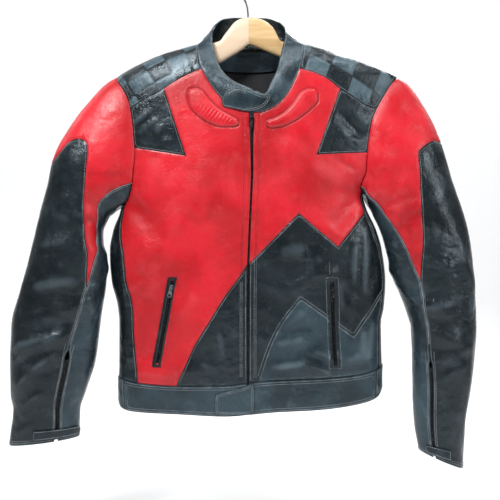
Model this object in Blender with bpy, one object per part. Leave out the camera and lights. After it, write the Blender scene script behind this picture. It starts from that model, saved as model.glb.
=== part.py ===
"""Leather jacket hanging on a wooden hanger, front towards -Y, +Z up, X to the right as seen.

Lengths in this file are millimetres and are turned into metres when a mesh is made. Heights are
given as `drop`, the distance below the origin, which is the hook's inner top bearing point.
Every panel lies on one of three base surfaces:
  torso   rings at constant drop; a point is (angle, drop), 0 front centre, +90 right, 180 back
  sleeve  a fan of oval rings; a point is (turn, along), 0 outer edge, 90 front, 180 inner edge
  collar  a band between two loops; a point is (turn, rise), 0 back centre, 180 front centre
"""
import math

import bpy
import numpy as np
from mathutils import Vector
from mathutils.geometry import delaunay_2d_cdt, tessellate_polygon

MM = 0.001
LEATHER = 2.0        # wall of one leather panel
DOUBLE = 3.0         # folded leather: collar and waistband
SEAM_GAP = 0.3       # clearance between neighbouring pieces
MITRE_GAP = 0.6      # and where they meet at an angle: armholes and neck
PROUD = 1.5          # waistband outer face in front of the body leather
ACROSS_STEP = 20.0   # mesh spacing round the body
ALONG_STEP = 29.0    # mesh spacing up and down
SEAM_STEP = 24.0     # mesh spacing along a seam

# ---------------------------------------------------------------- body sizes
# drop, half width left, half width right, depth in front, depth behind
TORSO = (
    (112, 70, 75, 34, 34),
    (122, 88, 98, 38, 38),
    (130, 116, 134, 42, 40),
    (142, 158, 167, 45, 42),
    (154, 187, 207, 48, 44),
    (171, 219, 250, 51, 46),
    (183, 236, 268, 53, 47),
    (205, 247, 270, 55, 48),
    (245, 250, 262, 58, 49),
    (300, 247, 250, 60, 50),
    (350, 242, 236, 61, 50),
    (392, 233, 206, 62, 50),
    (412, 229, 210, 62, 50),
    (456, 243, 230, 62, 49),
    (492, 249, 240, 61, 49),
    (545, 246, 246, 60, 48),
    (592, 235, 243, 58, 47),
    (622, 232, 238, 57, 46),
    (700, 232, 240, 53, 44),
    (735, 233, 239, 51, 43),
    (762, 232, 238, 49, 42),
    (800, 228, 234, 47, 41),
)
ROUND_FRONT = 2.4    # exponent of the oval section in front
ROUND_BACK = 2.8     # and behind, where the back hangs flatter

# Armhole: turn round the sleeve, then for each side drop and distance inside the silhouette
ARMHOLE_LEFT = (
    (0, 180, 0), (20, 187, 4), (40, 207, 25), (60, 238, 41), (80, 276, 46),
    (100, 316, 46), (120, 354, 39), (140, 385, 28), (160, 405, 14), (180, 412, 0),
)
ARMHOLE_RIGHT = (
    (0, 182, 0), (20, 188, 7), (40, 207, 23), (60, 235, 34), (80, 269, 41),
    (100, 305, 38), (120, 340, 31), (140, 367, 20), (160, 386, 7), (180, 392, 0),
)
# Turns at which a body seam or a sleeve seam meets the armhole, in front and behind
ARMHOLE_STOPS_LEFT = (0, 62, 98, 132, 165, 180, 195, 228, 312, 360)
ARMHOLE_STOPS_RIGHT = (0, 65, 108, 150, 165, 180, 195, 210, 312, 360)
ARMHOLE_STEP = 13.0

# Sleeve rings: outer x, outer drop, inner x, inner drop, half depth, distance forward
SLEEVE_LEFT = (
    (-236, 182, -228, 412, 40, 0),
    (-256, 193, -235, 417, 44, 1),
    (-289, 229, -242, 424, 47, 3),
    (-321, 273, -249, 433, 49, 5),
    (-346, 319, -255, 444, 49, 7),
    (-359, 376, -260, 459, 48, 9),
    (-373, 428, -259, 479, 47, 10),
    (-388, 490, -252, 504, 47, 11),
    (-405, 558, -254, 551, 46, 12),
    (-421, 617, -263, 610, 45, 12),
    (-425, 686, -272, 684, 42, 13),
    (-424, 747, -291, 745, 38, 13),
    (-420, 776, -300, 774, 36, 13),
    (-427, 839, -301, 823, 33, 13),
)
SLEEVE_RIGHT = (
    (268, 182, 205, 392, 40, 0),
    (282, 189, 211, 398, 44, 1),
    (309, 224, 213, 409, 47, 3),
    (334, 270, 219, 420, 49, 5),
    (350, 315, 225, 433, 49, 7),
    (365, 367, 233, 450, 48, 9),
    (379, 409, 240, 471, 47, 10),
    (394, 464, 248, 502, 47, 11),
    (403, 536, 258, 540, 46, 12),
    (406, 599, 281, 596, 44, 12),
    (406, 635, 290, 632, 42, 13),
    (403, 682, 292, 682, 40, 13),
    (396, 742, 293, 742, 37, 13),
    (387, 799, 296, 799, 34, 13),
    (383, 880, 304, 848, 31, 13),
)
CAP_REACH = 90.0     # how far along the sleeve the armhole's shape fades out

# Sleeve seams as (turn, along) in front; the same seams run behind at the mirrored turn
CAP_LEFT = (
    (129, 289), (128, 276), (122, 176), (102, 95), (66, 63), (44, 81), (34, 104), (16, 121), (0, 127),
)
CAP_RIGHT = (
    (116, 279), (112, 257), (103, 212), (90, 148), (80, 108), (66, 74), (44, 79), (18, 90), (0, 94),
)
UNDER_LEFT = (
    (132, 0), (129, 41), (132, 79), (144, 118), (150, 160), (147, 200), (138, 238), (132, 276),
    (129, 289),
)
UNDER_RIGHT = ((150, 0), (149, 39), (146, 98), (137, 155), (128, 199), (123, 240), (116, 279))
FOREARM_LEFT = (
    (129, 289), (127, 299), (123, 348), (116, 392), (114, 420), (114, 462), (116, 530), (115, 564),
)
FOREARM_RIGHT = (
    (116, 279), (120, 311), (125, 350), (124, 395), (121, 428), (117, 474), (116, 510), (115, 574),
    (115, 600),
)
CUFF_ZIP_TOP_LEFT = 401.0
CUFF_ZIP_TOP_RIGHT = 420.0
CUFF_ZIP_OPEN = 2.9        # half the slot between the panels beside a cuff zip

# Neck seam: turn from the back centre, x, drop; the same turns are used on both sides
NECK_LEFT = (
    (0, 0, 123), (30, -30, 123), (60, -63, 122), (90, None, 121), (105, -91, 127), (120, -89, 138),
    (132, -86, 163), (144, -74, 189), (155, -58, 214), (166, -36, 237), (174, -12, 249), (180, 5, 252),
)
NECK_RIGHT = (
    (0, 0, 123), (30, 32, 123), (60, 67, 122), (90, None, 121), (105, 98, 128), (120, 97, 138),
    (132, 93, 163), (144, 84, 189), (155, 69, 218), (166, 44, 243), (174, 20, 252), (180, 5, 252),
)
# Collar's top edge: turn, x, y, drop
COLLAR_TOP_LEFT = (
    (0, 2, 40, 64), (30, -25, 39, 64), (55, -45, 30, 68), (75, -62, 12, 84), (90, -65, -4, 99),
    (105, -63, -21, 124), (120, -57, -34, 148), (135, -47, -45, 173), (150, -29, -53, 193),
    (168, -5, -60, 206), (180, 10, -63, 213),
)
COLLAR_TOP_RIGHT = (
    (0, 2, 40, 64), (30, 32, 39, 65), (55, 60, 30, 76), (75, 68, 12, 91), (90, 67, -6, 102),
    (105, 62, -24, 124), (120, 56, -37, 150), (135, 50, -47, 174), (150, 40, -55, 198),
    (168, 27, -61, 219), (180, 10, -63, 213),
)
# Collar tab: (x, drop) of its outline, and the cubic of x / 40 and (drop - 230) / 22 that gives
# how far forward its back lies, just clear of the collar and the chest
COLLAR_TAB = (
    (-44, 242), (-46, 232), (-43, 222), (-37, 215), (-29, 211), (-19, 209), (-7, 210), (5, 214),
    (15, 218.5), (25, 222), (34, 221), (39, 223), (38, 230), (33, 238), (24, 245.5), (6, 250.5),
    (-7, 249.5), (-19, 247), (-32, 244.7),
)
COLLAR_TAB_SHEET = (64.44, 3.38, -1.9, -3.58, 0.85, -4.55, -1.6, 1.36, -3.34, 0.56)
COLLAR_RISE = 45.0   # nominal height of the collar, the scale of its `rise`
COLLAR_BULGE = 4.0

# ---------------------------------------------------------------- body seams, (x, drop) in front
YOKE_LEFT = ((-112, 187), (-135, 200), (-148, 209), (-165, 218), (-187, 229))
YOKE_RIGHT = ((112, 180), (134, 189), (161, 209), (182, 221), (207, 237))
YOKE_BACK_DROP = 48.0      # how far below the ridge the back yoke seam lies
INSERT_TOP_LEFT = (-148, 209)
INSERT_TOP_RIGHT = (161, 209)
INSERT_FOOT_LEFT = (-109, 327)
INSERT_FOOT_RIGHT = (119, 325)
CENTRE = (516, 0.0)        # drop and x where the colour seams meet the front zip
DIAGONAL = ((-14, 536), (-41, 573), (-70, 620), (-96, 663), (-112, 699), (-126, 727))
PEAK_1 = (88, 428)
VALLEY_1 = (157, 486)
END_1 = 425                # drop where the upper zigzag meets the right side seam
FOOT_2 = (17, 719)
RISE_2 = ((38, 657), (55, 623))
PEAK_2 = (91, 575)
VALLEY_2 = (184, 642)
END_2 = 563                # drop where the lower zigzag meets the right side seam

# Side seams: drop, distance forward of the middle plane, left and right
SIDE_LEFT = ((412, 20), (461, 30), (505, 35), (566, 35), (633, 33), (740, 33))
SIDE_RIGHT = ((392, 22), (459, 24), (500, 20), (560, 18), (634, 18), (740, 20))
SIDE_BACK = ((392, 22), (460, 28), (560, 30), (740, 30))

# Waistband edges: angle round the body, drop
BAND_TOP = (
    (-180, 729), (-120, 726), (-90, 716), (-72, 720), (-50, 727), (-30, 730), (-10, 729), (0, 724),
    (10, 720), (30, 717), (50, 712), (68, 704), (90, 694), (120, 712), (180, 729),
)
BAND_BOTTOM = (
    (-180, 782), (-120, 778), (-90, 758), (-76, 771), (-60, 777), (-30, 780), (-10, 783), (0, 780),
    (10, 776), (30, 772), (50, 764), (68, 754), (90, 736), (120, 762), (180, 782),
)
BAND_JOINT_RIGHT = 66.0    # angle of the joint in the right front of the band
BAND_JOINT_LEFT = -66.0
TAB_END = -58.0            # x of the band tab's free end
TAB_ROOT = 10.0            # x where the right band reaches its own level
TAB_LIFT = 2.3             # the tab's outer face over the left band's

# Front zip: drop, x of its middle, gap between the leather edges
FRONT_ZIP = (
    (252, 5.5, 8.0), (280, 6.0, 7.0), (309, 6.0, 5.0), (353, 6.5, 4.0), (405, 4.5, 3.4),
    (491, 0.8, 3.2), (516, 0.0, 3.2), (620, -0.5, 3.2), (719, -0.5, 3.2), (800, -0.5, 3.2),
)
CHAIN = 2.6                # width of the zip chain
TAPE = 7.5                 # half width of a zip's tape
TAPE_LIFT = -3.4           # the tape's outer face under the leather's outer face
POCKET_TAPE_LIFT = -2.8    # the same on the pockets, where the leather is flatter
CHAIN_LIFT = -1.0          # and a chain's
# Pocket zips: x and drop of both ends, width of the slot
POCKET_LEFT = ((-132, 545), (-160, 690), 8.6)
POCKET_RIGHT = ((146, 547), (152, 692), 8.6)

# Chest pads: the outline's (x, drop), clockwise as seen
PAD_LEFT = (
    (-107, 222), (-103, 212), (-92, 209), (-81, 214), (-67, 231), (-48, 248), (-27, 260),
    (-18, 266), (-17, 273), (-27, 277), (-46, 277), (-68, 270), (-88, 257), (-102, 241),
)
PAD_RIGHT = (
    (104, 210), (115, 211), (122, 219), (122, 229), (111, 244), (95, 257), (76, 269), (57, 277),
    (39, 279), (32, 274), (33, 267), (45, 262), (64, 251), (79, 234), (92, 216),
)
PAD_CROWN = 6.0

# ---------------------------------------------------------------- largest folds
# x and drop of both ends as seen, height, half width; a negative height is a trough
FRONT_FOLDS = (
    (78, 566, 108, 538, 4.0, 9), (108, 538, 156, 531, 4.5, 9), (180, 560, 186, 690, 4.0, 11),
    (214, 560, 212, 690, 3.0, 10), (91, 692, 212, 690, 4.5, 13), (-185, 700, -70, 706, 3.5, 13),
    (-205, 405, -150, 480, -4.0, 13), (195, 405, 150, 455, -3.5, 13), (-172, 345, -178, 520, 3.5, 17),
    (150, 256, 206, 292, -3.0, 9), (60, 300, 130, 400, 2.5, 20), (-60, 320, -120, 470, 2.5, 22),
)
BACK_FOLDS = (
    (-120, 300, -92, 640, 5.0, 20), (105, 320, 122, 650, 5.0, 20), (-8, 270, 12, 600, -3.5, 26),
    (-190, 700, 180, 704, 4.0, 14), (-165, 445, -125, 515, -4.0, 14), (160, 430, 125, 500, -4.0, 14),
    (-60, 480, -40, 690, 3.0, 18), (60, 470, 50, 690, 2.5, 18),
)
# turn and along of both ends, height, half width, for both sleeves
SLEEVE_FOLDS = (
    (118, 372, 40, 404, 4.5, 10), (84, 398, 36, 478, 4.0, 11), (148, 314, 74, 340, 4.0, 11),
    (60, 230, 20, 300, 3.0, 14), (110, 150, 60, 210, -3.0, 14), (150, 90, 70, 130, -3.5, 13),
    (200, 330, 290, 360, 4.5, 11), (215, 400, 300, 430, 4.0, 12), (230, 200, 300, 260, 3.5, 14),
    (170, 250, 230, 270, 3.0, 11), (330, 150, 350, 420, 3.0, 18), (250, 470, 260, 540, 2.5, 12),
)
FOLD_CLEAR = 30.0    # folds fade out over this distance from the armhole

# ---------------------------------------------------------------- hanger
HOOK_RADIUS = 17.0
WIRE = 3.6
WOOD_THICK = 14.0
WOOD_TOP = 73.5      # drop of the bow's highest point, where the hook goes in
# x, top drop, bottom drop of the wooden bow
WOOD = (
    (-208, 169.2, 186), (-180, 156.2, 182), (-150, 144.7, 176), (-120, 135.4, 170), (-90, 126.2, 163),
    (-62, 119.0, 158), (-51, 115.5, 155), (-44, 106, 151.3), (-36, 95.5, 146.3), (-23, 80.5, 138.3),
    (-12, 75.3, 131.5), (2, WOOD_TOP, 122), (14, 74.6, 126), (28, 78.8, 132), (40, 87.5, 137),
    (47, 96, 140), (58, 115.5, 144.6), (70, 118.6, 149), (90, 124.2, 153), (120, 132.0, 160),
    (150, 141.0, 166), (180, 150.0, 171), (208, 158.5, 176),
)

COLOURS = {
    "red": ((0.62, 0.012, 0.016), 0.42, 0.0),
    "black": ((0.016, 0.022, 0.026), 0.40, 0.0),
    "slate": ((0.055, 0.078, 0.092), 0.42, 0.0),
    "check": ((0.035, 0.048, 0.055), 0.45, 0.0),
    "lining": ((0.012, 0.013, 0.016), 0.85, 0.0),
    "zip": ((0.010, 0.010, 0.011), 0.60, 0.0),
    "steel": ((0.55, 0.56, 0.57), 0.28, 1.0),
    "dark_metal": ((0.04, 0.04, 0.045), 0.35, 1.0),
    "wood": ((0.76, 0.56, 0.33), 0.45, 0.0),
}


# ---------------------------------------------------------------- smooth tables
def smooth(rows, column, at):
    """Monotone cubic through one column of a table, over its first column."""
    knots = np.array([row[0] for row in rows], float)
    values = np.array([row[column] for row in rows], float)
    gaps = np.diff(knots)
    rises = np.diff(values) / gaps
    slopes = np.zeros_like(values)
    slopes[0], slopes[-1] = rises[0], rises[-1]
    for i in range(1, len(knots) - 1):
        if rises[i - 1] * rises[i] > 0:
            first = 2 * gaps[i] + gaps[i - 1]
            second = gaps[i] + 2 * gaps[i - 1]
            slopes[i] = (first + second) / (first / rises[i - 1] + second / rises[i])
    at = np.asarray(at, float)
    k = np.clip(np.searchsorted(knots, at) - 1, 0, len(gaps) - 1)
    t = np.clip((at - knots[k]) / gaps[k], 0, 1)
    near = values[k] * (1 + 2 * t) * (1 - t) ** 2 + slopes[k] * gaps[k] * t * (1 - t) ** 2
    far = values[k + 1] * t * t * (3 - 2 * t) + slopes[k + 1] * gaps[k] * t * t * (t - 1)
    return near + far


def ease(t):
    t = np.clip(t, 0, 1)
    return t * t * (3 - 2 * t)


def fold_heights(rows, across, along, across_scale=1.0):
    """Sum of soft ridges, each along a line between two points."""
    total = np.zeros(np.broadcast(across, along).shape)
    for a0, b0, a1, b1, height, width in rows:
        run = np.array([(a1 - a0) * across_scale, b1 - b0])
        span = float(run @ run)
        da = (across - a0) * across_scale
        db = along - b0
        t = (da * run[0] + db * run[1]) / span
        reach = np.hypot(da - np.clip(t, 0, 1) * run[0], db - np.clip(t, 0, 1) * run[1])
        taper = ease((t + 0.15) / 0.4) * ease((1.15 - t) / 0.4)
        total += height * taper * np.exp(-((reach / width) ** 2) / 1.6)
    return total


# ---------------------------------------------------------------- torso
def torso_base(angle, drop):
    angle, drop = np.radians(np.asarray(angle, float)), np.asarray(drop, float)
    s, c = np.sin(angle), np.cos(angle)
    power = np.where(c > 0, ROUND_FRONT, ROUND_BACK)
    size = (np.abs(s) ** power + np.abs(c) ** power) ** (1 / power)
    x = np.where(s > 0, smooth(TORSO, 2, drop), smooth(TORSO, 1, drop)) * s / size
    y = -np.where(c > 0, smooth(TORSO, 3, drop), smooth(TORSO, 4, drop)) * c / size
    return np.stack([x, y, -drop + 0 * x], -1)


def torso_folds(angle, drop):
    point = torso_base(angle, drop)
    x, y = point[..., 0], point[..., 1]
    front = fold_heights(FRONT_FOLDS, x, drop) * ease((-y - 12) / 22)
    back = fold_heights(BACK_FOLDS, x, drop) * ease((y - 12) / 22)
    clear = ease((235 - np.abs(x)) / 25 + (drop > 440))
    return (front + back) * clear


def angle_from_x(x, drop, front=True):
    """Angle of the torso point seen at x, on the front or the back."""
    x = np.asarray(x, float)
    half = np.where(x > 0, smooth(TORSO, 2, drop), smooth(TORSO, 1, drop))
    power = ROUND_FRONT if front else ROUND_BACK
    e = np.clip(np.abs(x) / half, 0, 1)
    angle = np.degrees(np.arctan2(e, (1 - e ** power) ** (1 / power)))
    angle = angle if front else 180 - angle
    return np.where(x < 0, -angle, angle)


def angle_from_depth(forward, drop, side, front=True):
    """Angle of the torso point that lies `forward` (or back) of the middle plane."""
    power = ROUND_FRONT if front else ROUND_BACK
    e = forward / smooth(TORSO, 3 if front else 4, drop)
    angle = np.degrees(np.arctan2((1 - e ** power) ** (1 / power), e))
    return side * (angle if front else 180 - angle)


def armhole_turns(side):
    stops = ARMHOLE_STOPS_LEFT if side < 0 else ARMHOLE_STOPS_RIGHT
    turns = []
    for low, high in zip(stops, stops[1:]):
        count = max(1, round((high - low) / ARMHOLE_STEP))
        turns += [low + (high - low) * i / count for i in range(count)]
    return np.array(turns + [360.0])


def armhole(side, turn):
    """(angle, drop) on the torso of the armhole seam at a turn of the sleeve."""
    turn = np.asarray(turn, float) % 360
    front = turn <= 180
    rows = ARMHOLE_LEFT if side < 0 else ARMHOLE_RIGHT
    folded = np.where(front, turn, 360 - turn)
    drop = smooth(rows, 1, folded)
    inset = smooth(rows, 2, folded)
    half = smooth(TORSO, 1 if side < 0 else 2, drop)
    x = side * (half - inset)
    return np.stack([np.where(front, angle_from_x(x, drop), angle_from_x(x, drop, False)), drop], -1)


def armhole_run(side, start, end):
    """Armhole points from one turn to another, always at the shared turns."""
    turns = armhole_turns(side)
    turns = np.concatenate([turns[:-1] - 360, turns])
    low, high = min(start, end), max(start, end)
    picked = np.unique(np.round(turns[(turns >= low - 1e-6) & (turns <= high + 1e-6)], 6))
    return picked if start < end else picked[::-1]


# ---------------------------------------------------------------- sleeves
def sleeve_rows(side):
    rings = SLEEVE_LEFT if side < 0 else SLEEVE_RIGHT
    along, rows, last = 0.0, [], None
    for ring in rings:
        middle = ((ring[0] + ring[2]) / 2, (ring[1] + ring[3]) / 2)
        if last:
            along += math.dist(middle, last)
        last = middle
        rows.append((along, *ring))
    return rows


def sleeve_length(side):
    return sleeve_rows(side)[-1][0]


def sleeve_ring(side, turn, along):
    rows = sleeve_rows(side)
    value = [smooth(rows, k, along) for k in range(1, 7)]
    turn = np.radians(turn)
    share = (1 - np.cos(turn)) / 2
    x = value[0] + (value[2] - value[0]) * share
    drop = value[1] + (value[3] - value[1]) * share
    return np.stack([x, -value[5] - value[4] * np.sin(turn), -drop], -1)


def sleeve_base(side, turn, along):
    turn, along = np.broadcast_arrays(np.asarray(turn, float), np.asarray(along, float))
    seam = armhole(side, turn)
    angle, drop = seam[..., 0], seam[..., 1]
    shift = TORSO_SKIN.skin(angle, drop) - sleeve_ring(side, turn, 0 * along)
    fade = 1 - ease(along / CAP_REACH)
    return sleeve_ring(side, turn, along) + shift * fade[..., None]


def sleeve_folds(turn, along, length):
    turn = np.asarray(turn, float) % 360
    clear = ease((along - 20) / FOLD_CLEAR) * ease((length - along) / 40)
    return fold_heights(SLEEVE_FOLDS, turn, along, 1.05) * clear


# ---------------------------------------------------------------- collar
def neck(turn):
    """(angle, drop) on the torso of the neck seam; turn is negative on the left."""
    turn = np.asarray(turn, float)
    result = np.zeros(turn.shape + (2,))
    for side, rows in ((-1, NECK_LEFT), (1, NECK_RIGHT)):
        ridge = float(smooth(TORSO, 1 if side < 0 else 2, 121.0))
        rows = [(row[0], side * ridge if row[1] is None else row[1], row[2]) for row in rows]
        t = np.abs(turn)
        drop = smooth(rows, 2, t)
        x = smooth(rows, 1, t)
        angle = np.where(t > 90, angle_from_x(x, drop), angle_from_x(x, drop, False))
        angle = np.where((x > 0) == (side > 0), angle, np.where(t > 90, angle, side * 180.0))
        pick = (turn < 0) if side < 0 else (turn >= 0)
        result[pick] = np.stack([angle, drop], -1)[pick]
    return result


def collar_base(turn, rise):
    turn, rise = np.broadcast_arrays(np.asarray(turn, float), np.asarray(rise, float))
    turn = (turn + 180) % 360 - 180
    seam = neck(turn)
    low = torso_base(seam[..., 0], seam[..., 1])
    top = np.zeros(low.shape)
    for side, rows in ((-1, COLLAR_TOP_LEFT), (1, COLLAR_TOP_RIGHT)):
        t = np.abs(turn)
        loop = np.stack([smooth(rows, 1, t), smooth(rows, 2, t), -smooth(rows, 3, t)], -1)
        pick = (turn < 0) if side < 0 else (turn >= 0)
        top[pick] = loop[pick]
    share = (rise / COLLAR_RISE)[..., None]
    out = low * np.array([1, 1, 0])
    out = out / np.maximum(np.linalg.norm(out, axis=-1, keepdims=True), 1)
    return low + (top - low) * share + out * COLLAR_BULGE * 4 * share * (1 - share)


def collar_tab_base(x, drop):
    """Sheet that the collar tab lies on; its first coordinate is x."""
    x, drop = np.broadcast_arrays(np.asarray(x, float), np.asarray(drop, float))
    u, v = x / 40, (drop - 230) / 22
    terms = (1 + 0 * u, u, v, u * u, u * v, v * v, u ** 3, u * u * v, u * v * v, v ** 3)
    forward = sum(share * term for share, term in zip(COLLAR_TAB_SHEET, terms))
    return np.stack([x, -forward, -drop], -1)


# ---------------------------------------------------------------- surfaces
class Surface:
    """A base surface with its folds; `place` gives points lifted off it."""

    def __init__(self, base, folds=None, flip=1.0):
        self.base = base
        self.folds = folds
        self.flip = flip

    def normal(self, a, b):
        ha, hb = 0.4, 0.5
        da = self.base(a + ha, b) - self.base(a - ha, b)
        db = self.base(a, b + hb) - self.base(a, b - hb)
        out = np.cross(da, db) * self.flip
        return out / np.maximum(np.linalg.norm(out, axis=-1, keepdims=True), 1e-9)

    def skin(self, a, b):
        point = self.base(a, b)
        if self.folds is None:
            return point
        return point + self.normal(a, b) * self.folds(a, b)[..., None]

    def arcs(self, centre, b):
        """Angles from centre-180 to centre+180 and their arc lengths, for each b."""
        angles = np.linspace(centre - 180, centre + 180, 145)
        points = self.base(angles[None, :], np.asarray(b, float)[:, None])
        steps = np.linalg.norm(np.diff(points, axis=1), axis=-1)
        sums = np.concatenate([np.zeros((len(steps), 1)), np.cumsum(steps, axis=1)], axis=1)
        return angles, sums - sums[:, [72]]


TORSO_SKIN = Surface(torso_base, torso_folds, -1.0)
COLLAR_SKIN = Surface(collar_base, None, -1.0)


def sleeve_skin(side):
    length = sleeve_length(side)
    return Surface(
        lambda a, b: sleeve_base(side, a, b),
        lambda a, b: sleeve_folds(a, b, length),
        1.0 if side > 0 else -1.0,
    )


class SheetChart:
    """A chart whose coordinates are already flat."""

    def __init__(self, surface):
        self.surface = surface

    def flat(self, raw):
        return raw

    def raw(self, flat):
        return flat


class TubeChart:
    """Flattens a stretch of a tube: arc length from `centre`, and the second coordinate."""

    def __init__(self, surface, centre):
        self.surface = surface
        self.centre = centre

    def flat(self, raw):
        angles, sums = self.surface.arcs(self.centre, raw[:, 1])
        turned = (raw[:, 0] - self.centre + 180) % 360 + self.centre - 180
        return np.array([[np.interp(t, angles, row), b] for t, row, b in zip(turned, sums, raw[:, 1])])

    def raw(self, flat):
        angles, sums = self.surface.arcs(self.centre, flat[:, 1])
        return np.array([[np.interp(across, row, angles), b]
                         for across, row, b in zip(flat[:, 0], sums, flat[:, 1])])


class RidgeChart:
    """Flattens a yoke: x, and the arc length over the shoulder ridge at that x."""

    surface = TORSO_SKIN
    reach = 120.0

    def profile(self, x):
        side = 1 if x < 0 else 2
        drops = np.linspace(112, 260, 400)
        ridge = np.interp(abs(x), np.maximum.accumulate(smooth(TORSO, side, drops)), drops)
        q = np.linspace(-1, 1, 121)
        drop = ridge + q * q * self.reach
        angle = np.where(q < 0, angle_from_x(x + 0 * q, drop), angle_from_x(x + 0 * q, drop, False))
        angle[60] = math.copysign(90, x)
        points = torso_base(angle, drop)
        sums = np.concatenate([[0], np.cumsum(np.linalg.norm(np.diff(points, axis=0), axis=1))])
        return angle, drop, sums - sums[60]

    def flat(self, raw):
        points = torso_base(raw[:, 0], raw[:, 1])
        result = []
        for (angle, drop), point in zip(raw, points):
            _, drops, sums = self.profile(point[0])
            half = slice(0, 61) if point[1] < 0 else slice(60, 121)
            order = slice(None, None, -1) if point[1] < 0 else slice(None)
            result.append([point[0], np.interp(drop, drops[half][order], sums[half][order])])
        return np.array(result)

    def raw(self, flat):
        result = []
        for x, w in flat:
            angle, drop, sums = self.profile(x)
            result.append([np.interp(w, sums, angle), np.interp(w, sums, drop)])
        return np.array(result)


# ---------------------------------------------------------------- outlines
def resample(points, step=SEAM_STEP):
    """Even points along a line through the given ones, smoothed at its inner points."""
    points = np.asarray(points, float)
    spans = np.linalg.norm(np.diff(points, axis=0), axis=1)
    at = np.concatenate([[0], np.cumsum(spans)])
    rows = [(a, *p) for a, p in zip(at, points)]
    count = max(1, math.ceil(at[-1] / step))
    steps = np.linspace(0, at[-1], count + 1)
    if len(points) == 2:
        return np.stack([np.interp(steps, at, points[:, k]) for k in (0, 1)], -1)
    return np.stack([smooth(rows, k + 1, steps) for k in (0, 1)], -1)


def seen(points, front=True):
    """Torso (angle, drop) of points given as seen: (x, drop)."""
    points = np.asarray(points, float)
    return np.stack([angle_from_x(points[:, 0], points[:, 1], front), points[:, 1]], -1)


def as_seen(raw):
    point = torso_base(raw[..., 0], raw[..., 1])
    return np.stack([point[..., 0], -point[..., 2]], -1)


def join(*runs):
    """One closed outline from runs that share their end points."""
    parts = [np.asarray(run, float)[:-1] for run in runs]
    return np.concatenate(parts)


def inside(polygon, points):
    x, y = points[:, 0][:, None], points[:, 1][:, None]
    x0, y0 = polygon[:, 0][None, :], polygon[:, 1][None, :]
    x1, y1 = np.roll(polygon[:, 0], -1)[None, :], np.roll(polygon[:, 1], -1)[None, :]
    crosses = (y0 > y) != (y1 > y)
    rise = np.where(y1 == y0, 1e-12, y1 - y0)
    return (crosses & (x < (x1 - x0) * (y - y0) / rise + x0)).sum(axis=1) % 2 == 1


def edge_distance(polygon, points):
    a, b = polygon[None, :, :], np.roll(polygon, -1, axis=0)[None, :, :]
    run = b - a
    t = ((points[:, None, :] - a) * run).sum(-1) / np.maximum((run * run).sum(-1), 1e-12)
    foot = a + np.clip(t, 0, 1)[..., None] * run
    return np.linalg.norm(points[:, None, :] - foot, axis=-1).min(axis=1)


# ---------------------------------------------------------------- meshes
def material(colour):
    name = "jacket_" + colour
    if name in bpy.data.materials:
        return bpy.data.materials[name].copy()
    result = bpy.data.materials.new(name)
    result.use_nodes = True
    rgb, roughness, metallic = COLOURS[colour]
    shader = result.node_tree.nodes["Principled BSDF"]
    shader.inputs["Base Color"].default_value = (*rgb, 1)
    shader.inputs["Roughness"].default_value = roughness
    shader.inputs["Metallic"].default_value = metallic
    return result


def make_object(name, points, faces, colour):
    mesh = bpy.data.meshes.new(name)
    mesh.from_pydata([tuple(p * MM) for p in points], [], [tuple(map(int, f)) for f in faces])
    mesh.update()
    mesh.materials.append(material(colour))
    made = bpy.data.objects.new(name, mesh)
    bpy.context.scene.collection.objects.link(made)
    mesh.shade_smooth()
    mesh.set_sharp_from_angle(angle=math.radians(40))
    return made


def fill(polygon, holes, across_step, along_step):
    """Triangles of a flat outline with holes, and the inner points that they use."""
    scale = np.array([1.0, across_step / along_step])
    loops = [polygon * scale] + [hole * scale for hole in holes]
    low, high = loops[0].min(axis=0), loops[0].max(axis=0)
    grid = []
    rows = int((high[1] - low[1]) / (across_step * 0.87)) + 2
    for j in range(rows):
        shift = 0.5 * across_step * (j % 2)
        for x in np.arange(low[0] + shift, high[0], across_step):
            grid.append((x, low[1] + (j + 0.5) * across_step * 0.87))
    grid = np.array(grid).reshape(-1, 2)
    keep = inside(loops[0], grid) & (edge_distance(loops[0], grid) > 0.62 * across_step)
    for hole in loops[1:]:
        keep &= ~inside(hole, grid) & (edge_distance(hole, grid) > 0.5 * across_step)
    grid = grid[keep]
    edges, start = [], 0
    for loop in loops:
        count = len(loop)
        edges += [(start + i, start + (i + 1) % count) for i in range(count)]
        start += count
    flat = np.concatenate(loops + [grid]) if len(grid) else np.concatenate(loops)
    made = delaunay_2d_cdt([Vector(p) for p in flat], edges, [], 0, 1e-6, True)
    source = [ids[0] for ids in made[3]]
    faces = np.array([[source[v] for v in face] for face in made[2]])
    middle = flat[faces].mean(axis=1)
    keep = inside(loops[0], middle)
    for hole in loops[1:]:
        keep &= ~inside(hole, middle)
    return faces[keep], grid / scale


def inset_directions(points, normals, count_list, turn_sign):
    """For each rim point, the direction into the piece, longer at sharp corners."""
    result = np.zeros_like(points)
    start = 0
    for count in count_list:
        loop = points[start:start + count]
        normal = normals[start:start + count]
        forward = np.roll(loop, -1, axis=0) - loop
        backward = loop - np.roll(loop, 1, axis=0)
        sides = []
        for run in (forward, backward):
            side = np.cross(normal, run) * turn_sign
            sides.append(side / np.maximum(np.linalg.norm(side, axis=1, keepdims=True), 1e-9))
        dot = (sides[0] * sides[1]).sum(axis=1, keepdims=True)
        result[start:start + count] = (sides[0] + sides[1]) / np.maximum(1 + dot, 0.25)
        start += count
    return result


def area_sign(loop):
    return 1.0 if (np.cross(loop, np.roll(loop, -1, axis=0))).sum() > 0 else -1.0


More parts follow.
